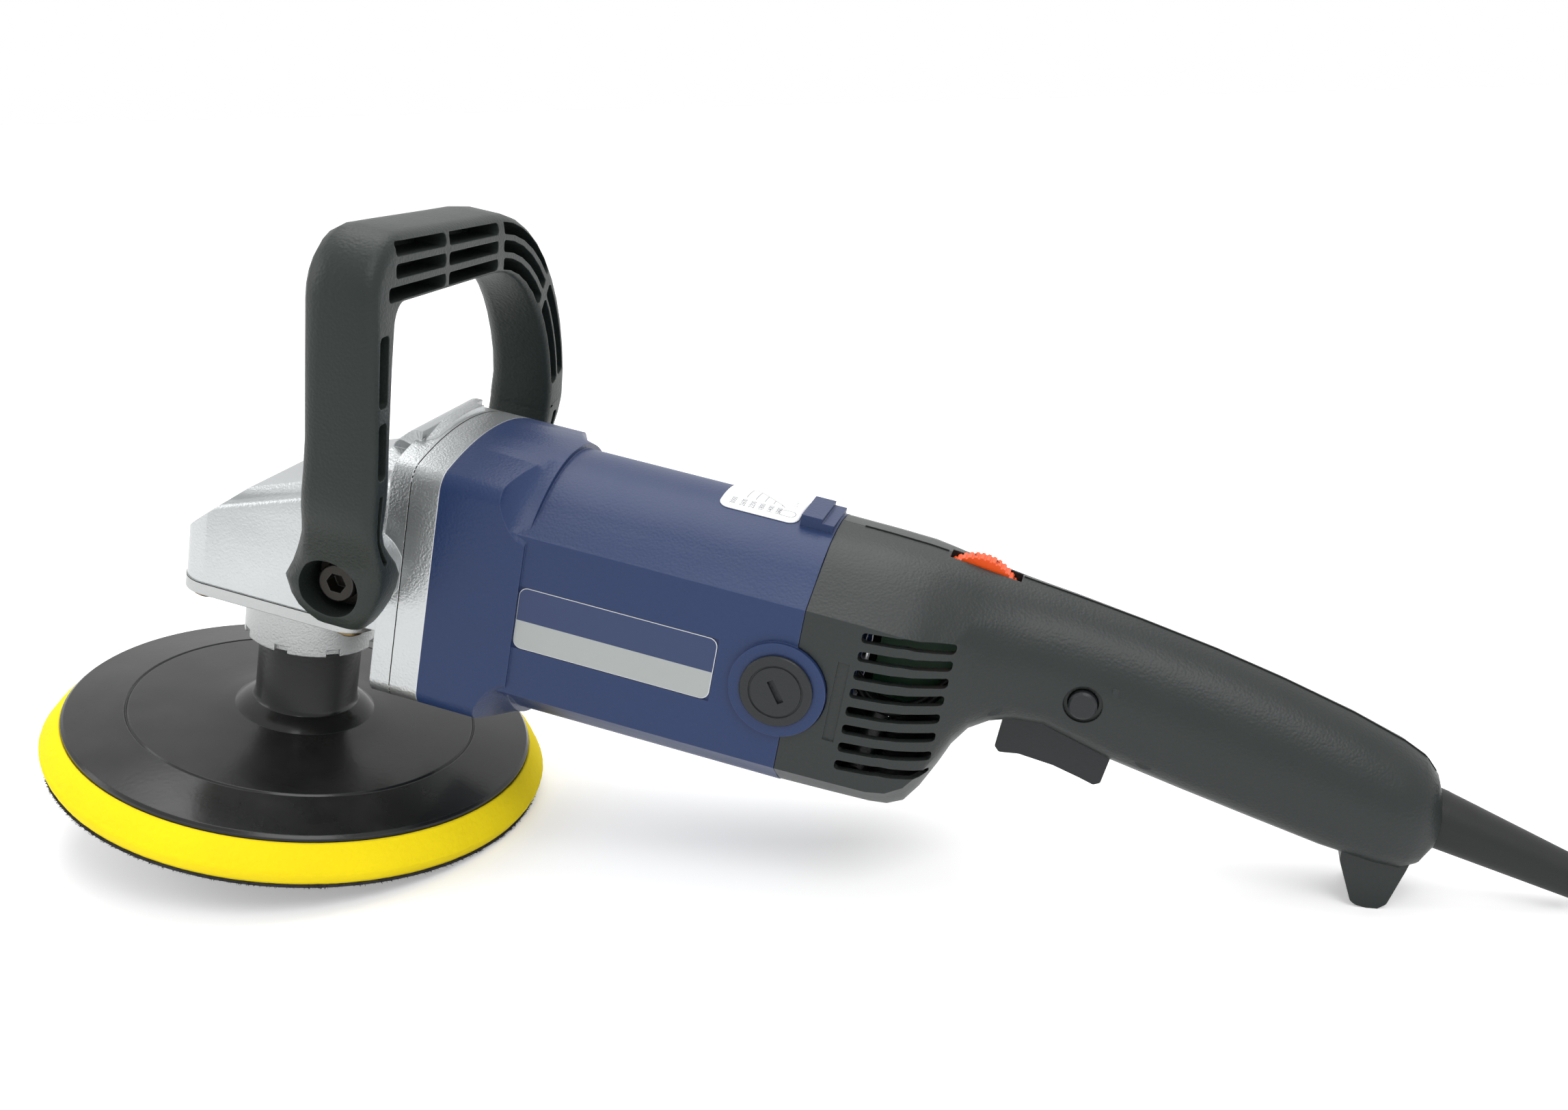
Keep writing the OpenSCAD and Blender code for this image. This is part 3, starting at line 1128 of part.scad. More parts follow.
module plug_pins() {
    color([0.8, 0.78, 0.7]) for (i = [-1, 1])
        translate([plug_x + 9.5 * i, plug_y + 30.2, plug_z]) rotate([-90, 0, 0]) union() {
            cylinder(r = 2.4, h = 24.5);
            translate([0, 0, 24.5]) cylinder(r1 = 2.4, r2 = 1.2, h = 1.8);
        }
}

pad_hook();
pad_foam();
backing_plate();
pad_insert();
spindle();
spindle_gear();
lower_bearing();
upper_bearing();
dust_seal();
gear_housing();
bearing_plate();
plate_screws();
bearing_bracket();
housing_screws();
loop_handle();
handle_bolts();
motor_housing();
stator_core();
field_coils();
brush_holders();
carbon_brushes();
brush_springs();
brush_caps();
name_plate();
speed_chart();
armature_shaft();
armature_core();
armature_windings();
commutator();
cooling_fan();
bevel_pinion();
front_bearing();
rear_bearing();
rear_shell_near();
rear_shell_far();
shell_screws();
speed_dial();
speed_board();
trigger();
trigger_pin();
switch_body();
lock_button();
cord_clamp();
cord_guard();
power_cord();
cord_coil();
plug_body();
plug_pins();
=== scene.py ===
"""Looks of the rotary polisher: camera, light, cord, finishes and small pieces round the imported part."""

import logging
import math
import random
from dataclasses import dataclass, field
from enum import Enum

import bmesh
import bpy
from mathutils import Matrix, Vector, noise
from mathutils.bvhtree import BVHTree


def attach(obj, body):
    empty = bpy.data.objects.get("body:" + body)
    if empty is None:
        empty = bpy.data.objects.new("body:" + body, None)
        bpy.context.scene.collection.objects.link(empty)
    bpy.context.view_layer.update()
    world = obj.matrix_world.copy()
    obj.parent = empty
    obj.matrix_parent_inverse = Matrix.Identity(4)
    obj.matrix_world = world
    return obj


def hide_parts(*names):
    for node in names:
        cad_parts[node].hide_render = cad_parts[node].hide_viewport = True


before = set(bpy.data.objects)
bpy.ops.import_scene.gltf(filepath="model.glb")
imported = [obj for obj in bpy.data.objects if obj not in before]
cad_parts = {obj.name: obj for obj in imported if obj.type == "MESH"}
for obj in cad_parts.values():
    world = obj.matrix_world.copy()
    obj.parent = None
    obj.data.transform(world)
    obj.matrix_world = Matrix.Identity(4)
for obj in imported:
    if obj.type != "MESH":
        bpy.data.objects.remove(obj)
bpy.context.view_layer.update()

log = logging.getLogger("polisher")

Colour = tuple[float, float, float]
Point = tuple[float, float, float]
Flat = tuple[float, float]
Face = tuple[int, ...]
Hit = tuple[Vector, Vector] | None
Inputs = dict[str | int, object]

PER_METRE = 1000

# The part rests on its pad's edge and its tail foot, so the tool frame leans about Y.
HOOK_R = 88.5
FOOT_X = 374.0
FOOT_Z = 64.8
LEAN = math.atan2(FOOT_Z, FOOT_X - HOOK_R)
REST = Matrix.Rotation(LEAN, 4, "Y")
FLOOR_Z = -HOOK_R * math.sin(LEAN) / PER_METRE


def srgb(red: int, green: int, blue: int) -> Colour:
    """Turn an 8-bit screen colour into a linear one.

    Args:
        red: Red from 0 to 255.
        green: Green from 0 to 255.
        blue: Blue from 0 to 255.

    Returns:
        The linear colour.
    """

    def linear(level: int) -> float:
        """Return one channel in linear light."""
        share = level / 255
        return share / 12.92 if share <= 0.04045 else ((share + 0.055) / 1.055) ** 2.4

    return linear(red), linear(green), linear(blue)


def tool(x: float, y: float, z: float) -> Vector:
    """Place a point of the tool frame, in millimetres, in the row frame, in metres."""
    return REST @ (Vector((x, y, z)) / PER_METRE)


def put(name: str, data: bpy.types.ID) -> bpy.types.Object:
    """Put new data into the scene.

    Args:
        name: The object's name.
        data: Its mesh, curve, lamp or camera.

    Returns:
        The new object.
    """
    thing = bpy.data.objects.new(name, data)
    bpy.context.scene.collection.objects.link(thing)
    return thing


@dataclass
class Bench:
    """Adds and joins the nodes of one node tree."""

    tree: bpy.types.NodeTree

    def feed(self, node: bpy.types.Node, inputs: Inputs) -> None:
        """Link sockets to a node's inputs, and set plain values on the others.

        Args:
            node: The node to feed.
            inputs: A socket or a value for each input, by name or number.
        """
        for key, value in inputs.items():
            if isinstance(value, bpy.types.NodeSocket):
                self.tree.links.new(value, node.inputs[key])
            else:
                node.inputs[key].default_value = value

    def add(self, kind: str, inputs: Inputs | None = None, operation: str = "") -> bpy.types.Node:
        """Add a node and feed it.

        Args:
            kind: The node's type.
            inputs: A socket or a value for each input that isn't left as it is.
            operation: The node's operation, for a node that has one.

        Returns:
            The node.
        """
        node = self.tree.nodes.new(kind)
        if operation:
            node.operation = operation
        self.feed(node, inputs or {})
        return node

    def maths(self, kind: str, first: object, second: object, clamp: bool = False) -> bpy.types.NodeSocket:
        """Add a Math node.

        Args:
            kind: The operation.
            first: A socket or a number.
            second: A socket or a number.
            clamp: Whether the result stays between 0 and 1.

        Returns:
            The node's output socket.
        """
        node = self.add("ShaderNodeMath", {0: first, 1: second}, kind)
        node.use_clamp = clamp
        return node.outputs[0]

    def texture(self, kind: str, inputs: Inputs) -> bpy.types.Node:
        """Add a texture laid out in the object's own space."""
        place = self.add("ShaderNodeTexCoord")
        return self.add(kind, {"Vector": place.outputs["Object"], **inputs})


class Effect(Enum):
    """Shader groups that several finishes share."""

    GRAIN = "Moulded Grain"
    CAST = "Cast Skin"
    WEAR_AND_HIGHLIGHT = "Edge Wear"
    # Edge mask: real wear and a painted highlight along edges.
    DUST = "Settled Dust"


class Kind(Enum):
    """What a group's socket carries."""

    NUMBER = "NodeSocketFloat"
    COLOUR = "NodeSocketColor"
    VECTOR = "NodeSocketVector"


@dataclass
class EffectLibrary:
    """Builds each shared shader group once and hands it out."""

    grain_cloud: float = 55.0
    grain_detail: float = 4.0
    cast_cloud: float = 38.0
    cast_detail: float = 5.0
    pebble_detail: float = 3.0
    bevel_samples: int = 4
    edge_gain: float = 9.0
    breakup: float = 140.0
    breakup_gain: float = 1.6
    dust_scale: float = 60.0
    dust_detail: float = 6.0
    built: dict[Effect, bpy.types.ShaderNodeTree] = field(default_factory=dict)

    def get(self, effect: Effect) -> bpy.types.ShaderNodeTree:
        """Return the group of an effect, building it on first use.

        Args:
            effect: Which shared effect is wanted.

        Returns:
            The shader node group.
        """
        if effect not in self.built:
            maker = {
                Effect.GRAIN: self._skin,
                Effect.CAST: self._skin,
                Effect.WEAR_AND_HIGHLIGHT: self._wear,
                Effect.DUST: self._dust,
            }[effect]
            self.built[effect] = maker(effect)
        return self.built[effect]

    @staticmethod
    def _start(effect: Effect, inputs: dict[str, Kind],
               outputs: dict[str, Kind]) -> tuple[Bench, bpy.types.Node, bpy.types.Node]:
        """Create a group with named sockets.

        Args:
            effect: The effect the group is for.
            inputs: What each input carries.
            outputs: What each output carries.

        Returns:
            The group's bench, its input node and its output node.
        """
        tree = bpy.data.node_groups.new(effect.value, "ShaderNodeTree")
        for way, sockets in (("INPUT", inputs), ("OUTPUT", outputs)):
            for name, kind in sockets.items():
                tree.interface.new_socket(name, in_out=way, socket_type=kind.value)
        return Bench(tree), tree.nodes.new("NodeGroupInput"), tree.nodes.new("NodeGroupOutput")

    def _skin(self, effect: Effect) -> bpy.types.ShaderNodeTree:
        """Build a skin: the leathery grain of moulded plastic or the pebbles of cast metal, softly clouded.

        Args:
            effect: Effect.GRAIN or Effect.CAST.

        Returns:
            The shader node group.
        """
        numbers = ("Scale", "Spread", "Roughness", "Rough Spread")
        bench, start, end = self._start(
            effect,
            {name: Kind.NUMBER for name in numbers} | {"Tint": Kind.COLOUR},
            {"Roughness": Kind.NUMBER, "Height": Kind.NUMBER, "Colour": Kind.COLOUR},
        )
        given = start.outputs
        if effect is Effect.GRAIN:
            relief = bench.texture("ShaderNodeTexVoronoi", {"Scale": given["Scale"]})
            relief.feature = "SMOOTH_F1"
            height, scale, detail = relief.outputs["Distance"], self.grain_cloud, self.grain_detail
        else:
            values = {"Scale": given["Scale"], "Detail": self.pebble_detail}
            relief = bench.texture("ShaderNodeTexNoise", values)
            height, scale, detail = relief.outputs["Fac"], self.cast_cloud, self.cast_detail
        cloud = bench.texture("ShaderNodeTexNoise", {"Scale": scale, "Detail": detail})
        shade = bench.maths("SUBTRACT", cloud.outputs["Fac"], 0.5)
        bright = bench.maths("ADD", bench.maths("MULTIPLY", shade, given["Spread"]), 1.0)
        tint = bench.add("ShaderNodeVectorMath", {0: given["Tint"], "Scale": bright}, "SCALE")
        rough = bench.maths("MULTIPLY", shade, given["Rough Spread"])
        rough = bench.maths("ADD", rough, given["Roughness"], clamp=True)
        bench.feed(end, {"Roughness": rough, "Height": height, "Colour": tint.outputs[0]})
        return bench.tree

    def _wear(self, effect: Effect) -> bpy.types.ShaderNodeTree:
        """Build a mask that is 1 on edges, for rubbed wear and a painted highlight along them, with the
        normal of edges slightly rounded.

        Args:
            effect: Effect.WEAR_AND_HIGHLIGHT.

        Returns:
            The shader node group.
        """
        bench, start, end = self._start(
            effect,
            {"Width": Kind.NUMBER, "Amount": Kind.NUMBER},
            {"Mask": Kind.NUMBER, "Normal": Kind.VECTOR},
        )
        rounded = bench.add("ShaderNodeBevel", {"Radius": start.outputs["Width"]})
        rounded.samples = self.bevel_samples
        flat = bench.add("ShaderNodeNewGeometry")
        sides = {0: rounded.outputs[0], 1: flat.outputs["Normal"]}
        dot = bench.add("ShaderNodeVectorMath", sides, "DOT_PRODUCT")
        bend = bench.maths("SUBTRACT", 1.0, dot.outputs["Value"])
        edge = bench.maths("MULTIPLY", bend, self.edge_gain, clamp=True)
        cloud = bench.texture("ShaderNodeTexNoise", {"Scale": self.breakup})
        patches = bench.maths("MULTIPLY", cloud.outputs["Fac"], self.breakup_gain)
        broken = bench.maths("MULTIPLY", edge, patches, clamp=True)
        mask = bench.maths("MULTIPLY", broken, start.outputs["Amount"], clamp=True)
        bench.feed(end, {"Mask": mask, "Normal": rounded.outputs[0]})
        return bench.tree

    def _dust(self, effect: Effect) -> bpy.types.ShaderNodeTree:
        """Build a mask of fine dust on faces that look up.

        Args:
            effect: Effect.DUST.

        Returns:
            The shader node group.
        """
        bench, start, end = self._start(effect, {"Amount": Kind.NUMBER}, {"Mask": Kind.NUMBER})
        flat = bench.add("ShaderNodeNewGeometry")
        split = bench.add("ShaderNodeSeparateXYZ", {0: flat.outputs["Normal"]})
        up = bench.maths("MULTIPLY", split.outputs["Z"], 1.0, clamp=True)
        cloud = bench.texture("ShaderNodeTexNoise", {"Scale": self.dust_scale, "Detail": self.dust_detail})
        patches = bench.maths("MULTIPLY", up, cloud.outputs["Fac"], clamp=True)
        mask = bench.maths("MULTIPLY", patches, start.outputs["Amount"], clamp=True)
        bench.feed(end, {"Mask": mask})
        return bench.tree


EFFECTS = EffectLibrary()

# Values that all finishes share.
ROUGH_SPREAD = 0.08
# Width of the edge band that carries wear and a painted highlight.
WEAR_AND_HIGHLIGHT_WIDTH = 0.0005
DUST_TINT = (0.5, 0.49, 0.47)
COAT_ROUGHNESS = 0.12
BUMP_DEPTH = 0.0004


@dataclass(frozen=True)
class Finish:
    """One finish: a Principled surface with a grain group, edge wear with a painted edge highlight, and a
    little dust.
    """

    name: str
    tint: Colour
    roughness: float
    metallic: float = 0.0
    coat: float = 0.0
    effect: Effect = Effect.GRAIN
    scale: float = 900.0
    bump: float = 0.12
    spread: float = 0.1
    # Edge tint: partly real wear, partly a painted highlight along edges.
    wear: float = 0.25
    wear_tint: Colour = (0.25, 0.25, 0.26)
    dust: float = 0.03
    specular: float = 0.5

    def build(self) -> bpy.types.Material:
        """Make the material.

        Returns:
            The finished material.
        """
        material = bpy.data.materials.new(self.name)
        material.use_nodes = True
        bench = Bench(material.node_tree)
        skin = bench.add("ShaderNodeGroup")
        skin.node_tree = EFFECTS.get(self.effect)
        values = {"Scale": self.scale, "Spread": self.spread, "Roughness": self.roughness}
        bench.feed(skin, {**values, "Rough Spread": ROUGH_SPREAD, "Tint": (*self.tint, 1)})
        colour = skin.outputs["Colour"]
        relief: Inputs = {"Strength": self.bump, "Distance": BUMP_DEPTH, "Height": skin.outputs["Height"]}
        # Edges get a lighter tint: partly real wear, partly a painted highlight.
        if self.wear > 0:
            values = {"Amount": self.wear, "Width": WEAR_AND_HIGHLIGHT_WIDTH}
            colour, edge = self._layer(bench, colour, Effect.WEAR_AND_HIGHLIGHT, values, self.wear_tint)
            relief["Normal"] = edge.outputs["Normal"]
        if self.dust > 0:
            colour, _ = self._layer(bench, colour, Effect.DUST, {"Amount": self.dust}, DUST_TINT)
        bump = bench.add("ShaderNodeBump", relief)
        bench.feed(material.node_tree.nodes["Principled BSDF"], {
            "Base Color": colour,
            "Roughness": skin.outputs["Roughness"],
            "Normal": bump.outputs["Normal"],
            "Metallic": self.metallic,
            "Coat Weight": self.coat,
            "Coat Roughness": COAT_ROUGHNESS,
            "Specular IOR Level": self.specular,
        })
        return material

    @staticmethod
    def _layer(bench: Bench, under: bpy.types.NodeSocket, effect: Effect, values: Inputs,
               tint: Colour) -> tuple[bpy.types.NodeSocket, bpy.types.Node]:
        """Lay one masked colour over another.

        Args:
            bench: The bench of the material being built.
            under: The colour below.
            effect: The group that makes the mask.
            values: The group's inputs.
            tint: The colour on top.

        Returns:
            The mixed colour's socket and the mask's node.
        """
        mask = bench.add("ShaderNodeGroup")
        mask.node_tree = EFFECTS.get(effect)
        bench.feed(mask, values)
        mix = bench.add("ShaderNodeMix")
        mix.data_type = "RGBA"
        bench.feed(mix, {0: mask.outputs["Mask"], 6: under, 7: (*tint, 1)})
        return mix.outputs[2], mask


def pebbled(name: str, tint: Colour, roughness: float, metallic: float, **rest: float | Colour) -> Finish:
    """Return a finish with a pebbly skin, as a casting has, and no dust."""
    return Finish(name, tint, roughness, metallic, effect=Effect.CAST, dust=0.0, **rest)


def smooth(name: str, tint: Colour, roughness: float, bump: float, spread: float, **rest: float) -> Finish:
    """Return the finish of a thin even layer with no worn edges and no painted edge highlight, such as a
    film or a print.
    """
    return Finish(name, tint, roughness, scale=500, bump=bump, spread=spread, wear=0.0, **rest)


# Each edge tint below is lighter than its base: partly real wear, partly a painted edge highlight.
CAST_HEAD = pebbled("cast head", srgb(184, 187, 188), 0.36, 0.92, scale=1300, bump=0.42, spread=0.24,
                    wear=0.35, wear_tint=srgb(240, 240, 242))
PLATE_CAST = pebbled("cast plate", srgb(176, 178, 178), 0.42, 0.92, scale=1300, bump=0.42, spread=0.26,
                     wear=0.3, wear_tint=srgb(230, 230, 232))
HANDLE = Finish("handle plastic", srgb(33, 40, 38), 0.46, scale=1100, bump=0.3, wear=0.16,
                wear_tint=srgb(104, 110, 109), specular=0.28)
SHELL = Finish("shell plastic", srgb(30, 36, 35), 0.4, scale=1200, bump=0.22, wear=0.15,
               wear_tint=srgb(98, 104, 104), specular=0.36)
BLUE = Finish("motor blue", srgb(33, 51, 90), 0.4, scale=1200, bump=0.2, wear=0.2,
              wear_tint=srgb(112, 126, 168), specular=0.3)
DARK = Finish("dark plastic", srgb(26, 30, 32), 0.4, scale=1300, bump=0.18, wear=0.2,
              wear_tint=srgb(86, 90, 93), specular=0.34)
PAD_DISC = Finish("pad disc", srgb(12, 15, 14), 0.2, coat=0.04, specular=0.3, scale=700, bump=0.04,
                  wear_tint=srgb(120, 120, 124), dust=0.05)
ORANGE = Finish("orange plastic", srgb(243, 86, 18), 0.42, scale=1200, bump=0.15, wear=0.1,
                wear_tint=srgb(250, 160, 110), specular=0.35)
BOARD = Finish("green board", srgb(30, 84, 52), 0.45, scale=500, bump=0.1, dust=0.0)
RUBBER = Finish("cord rubber", srgb(23, 25, 25), 0.5, scale=1500, wear=0.0, dust=0.04, specular=0.32)
STEEL = pebbled("turned steel", srgb(170, 172, 176), 0.3, 1.0, bump=0.06, wear=0.1)
GEAR_STEEL = pebbled("gear steel", srgb(140, 142, 146), 0.35, 1.0, scale=1000, bump=0.1)
SCREW = pebbled("yellow zinc", srgb(122, 104, 72), 0.38, 1.0, scale=1500, bump=0.15, wear=0.4,
                wear_tint=srgb(190, 178, 150))
BOLT = pebbled("blackened bolt", srgb(44, 41, 37), 0.36, 0.7, scale=1500, bump=0.2, wear=0.5,
               wear_tint=srgb(130, 130, 132))
CORE = pebbled("motor core", srgb(92, 92, 96), 0.5, 0.6, scale=800, bump=0.3)
COPPER = pebbled("copper wire", srgb(170, 92, 48), 0.38, 0.9, scale=600, bump=0.3)
BRASS = pebbled("drawn brass", srgb(190, 156, 84), 0.32, 1.0, bump=0.08)
CARBON = pebbled("pressed carbon", srgb(28, 28, 29), 0.6, 0.0, bump=0.2)
NICKEL = pebbled("nickel", srgb(200, 196, 186), 0.22, 1.0, scale=800, bump=0.04)
SILVER_PLATE = pebbled("silver plate", srgb(205, 207, 210), 0.35, 0.6, scale=2200, bump=0.05, wear=0.1,
                       wear_tint=srgb(235, 235, 236))
FOAM = pebbled("yellow foam", srgb(247, 221, 20), 0.85, 0.0, scale=520, bump=0.9, spread=0.16, wear=0.0,
               specular=0.2)
HOOK = pebbled("hook layer", srgb(52, 52, 54), 0.9, 0.0, scale=1600, bump=1.0, spread=0.5, wear=0.0,
               specular=0.2)
WHITE_FILM = smooth("white film", srgb(236, 237, 238), 0.38, 0.02, 0.03)
PRINT_TOP = smooth("plate print dark", srgb(46, 60, 96), 0.34, 0.03, 0.05, dust=0.02, specular=0.3)
PRINT_LOW = smooth("plate print grey", srgb(160, 165, 164), 0.34, 0.03, 0.05, dust=0.02)
INK = smooth("grey ink", srgb(96, 98, 102), 0.5, 0.02, 0.1, dust=0.0)
SHADOW_LINE = Finish("shadow line", srgb(12, 13, 13), 0.7, bump=0.02, wear=0.0, dust=0.0, specular=0.2)

FINISH_OF_NODE: dict[str, Finish] = {
    "pad_hook": HOOK, "pad_foam": FOAM, "backing_plate": PAD_DISC, "pad_insert": STEEL,
    "spindle": STEEL, "spindle_gear": GEAR_STEEL, "lower_bearing": STEEL, "upper_bearing": STEEL,
    "dust_seal": DARK, "gear_housing": CAST_HEAD, "bearing_plate": PLATE_CAST, "plate_screws": SCREW,
    "bearing_bracket": CAST_HEAD, "housing_screws": SCREW, "loop_handle": HANDLE, "handle_bolts": BOLT,
    "motor_housing": BLUE, "stator_core": CORE, "field_coils": COPPER, "brush_holders": BRASS,
    "carbon_brushes": CARBON, "brush_springs": STEEL, "brush_caps": DARK, "name_plate": SILVER_PLATE,
    "speed_chart": WHITE_FILM, "armature_shaft": STEEL, "armature_core": CORE,
    "armature_windings": COPPER, "commutator": COPPER, "cooling_fan": DARK, "bevel_pinion": GEAR_STEEL,
    "front_bearing": STEEL, "rear_bearing": STEEL, "rear_shell_near": SHELL, "rear_shell_far": SHELL,
    "shell_screws": BOLT, "speed_dial": ORANGE, "speed_board": BOARD, "trigger": DARK,
    "trigger_pin": STEEL, "switch_body": DARK, "lock_button": DARK, "cord_clamp": DARK,
    "cord_guard": RUBBER, "power_cord": RUBBER, "cord_coil": RUBBER, "plug_body": RUBBER,
    "plug_pins": NICKEL,
}


@dataclass
class CadDress:
    """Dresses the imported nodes: a material, joined faces, and round shading between their true edges."""

    sharp_angle: float = 32.0
    join: float = 1e-6
    materials: dict[str, bpy.types.Material] = field(default_factory=dict)
    skin: bpy.types.NodeTree | None = None

    def material(self, finish: Finish) -> bpy.types.Material:
        """Return the material of a finish, made once.

        Args:
            finish: The finish that is wanted.

        Returns:
            Its material.
        """
        if finish.name not in self.materials:
            self.materials[finish.name] = finish.build()
        return self.materials[finish.name]

    def _skin_tree(self) -> bpy.types.NodeTree:
        """Build the node tree that joins split faces and shades them round.

        Returns:
            The geometry node tree.
        """
        tree = bpy.data.node_groups.new("Soft Skin", "GeometryNodeTree")
        for way in ("INPUT", "OUTPUT"):
            tree.interface.new_socket("Geometry", in_out=way, socket_type="NodeSocketGeometry")
        bench = Bench(tree)
        fold = bench.add("GeometryNodeInputMeshEdgeAngle")
        angles = {"A": fold.outputs["Unsigned Angle"], "B": math.radians(self.sharp_angle)}
        sharp = bench.add("FunctionNodeCompare", angles, "GREATER_THAN")
        edges = bench.add("GeometryNodeSetShadeSmooth", {"Shade Smooth": False})
        edges.domain = "EDGE"
        bench.feed(edges, {"Selection": sharp.outputs["Result"]})
        chain = [
            bench.add("NodeGroupInput"),
            bench.add("GeometryNodeRemoveAttribute", {"Name": "custom_normal"}),
            bench.add("GeometryNodeMergeByDistance", {"Distance": self.join}),
            bench.add("GeometryNodeSetShadeSmooth"),
            edges,
            bench.add("NodeGroupOutput"),
        ]
        for before, after in zip(chain, chain[1:]):
            tree.links.new(before.outputs[0], after.inputs[0])
        return tree

    def soften(self, thing: bpy.types.Object) -> None:
        """Shade an object round between its true edges.

        Args:
            thing: The object to shade.
        """
        if self.skin is None:
            self.skin = self._skin_tree()
        stored = thing.data.attributes.get("custom_normal")
        if stored is not None:
            thing.data.attributes.remove(stored)
        thing.modifiers.new("soft skin", "NODES").node_group = self.skin

    def dress(self, name: str, node: bpy.types.Object) -> None:
        """Give one node its finish.

        Args:
            name: The node's name.
            node: The node's object.
        """
        node.data.materials.clear()
        node.data.materials.append(self.material(FINISH_OF_NODE[name]))
        self.soften(node)
        log.info("dressed %s", name)


DRESS = CadDress()


@dataclass
class Surface:
    """Points in the row frame and the faces between them, gathered into one visible piece."""

    points: list[Vector] = field(default_factory=list)
    faces: list[Face] = field(default_factory=list)

    def add(self, points: list[Vector], faces: list[Face]) -> None:
        """Add more points, with faces that count them from nought.

        Args:
            points: The new points in metres.
            faces: The faces between them.
        """
        first = len(self.points)
        self.points += points
        self.faces += [tuple(first + k for k in face) for face in faces]

    def piece(self, name: str, body: str, slot: str, *finishes: Finish) -> bpy.types.Object:
        """Make the piece.

        Args:
            name: The piece's name.
            body: The body it rides on.
            slot: Not used.
            finishes: The finishes of its material slots.

        Returns:
            The piece's object.
        """
        mesh = bpy.data.meshes.new(name)
        mesh.from_pydata([tuple(p) for p in self.points], [], self.faces)
        mesh.validate()
        thing = put(name, mesh)
        for finish in finishes:
            mesh.materials.append(DRESS.material(finish))
        mesh.shade_smooth()
        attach(thing, body)
        log.info("made %s", name)
        return thing


def melt(curve: bpy.types.Curve) -> tuple[list[Vector], list[Face]]:
    """Turn a curve or a text into plain points and faces, and remove it.

    Args:
        curve: The curve or text.

    Returns:
        Its points and faces.
    """
    thing = put(curve.name, curve)
    mesh = bpy.data.meshes.new_from_object(thing.evaluated_get(bpy.context.evaluated_depsgraph_get()))
    points, faces = [v.co.copy() for v in mesh.vertices], [tuple(f.vertices) for f in mesh.polygons]
    bpy.data.objects.remove(thing)
    bpy.data.curves.remove(curve)
    bpy.data.meshes.remove(mesh)
    return points, faces


def figures(text: str, size: float, align: str = "LEFT") -> tuple[list[Vector], list[Face]]:
    """Set a number flat, with its foot line on the X axis.

    Args:
        text: The number.
        size: Height of its line.
        align: Which part of it lies at the origin.

    Returns:
        Its points and faces.
    """
    curve = bpy.data.curves.new("figures", "FONT")
    curve.body = text
    curve.size = size
    curve.align_x = align
    curve.resolution_u = 2
    return melt(curve)


def ray_target(name: str) -> BVHTree:
    """Gather a node's faces in the row frame, to cast rays at.

    Args:
        name: The node's name.

    Returns:
        The tree of its faces.
    """
    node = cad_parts[name]
    points = [node.matrix_world @ v.co for v in node.data.vertices]
    return BVHTree.FromPolygons(points, [tuple(f.vertices) for f in node.data.polygons])


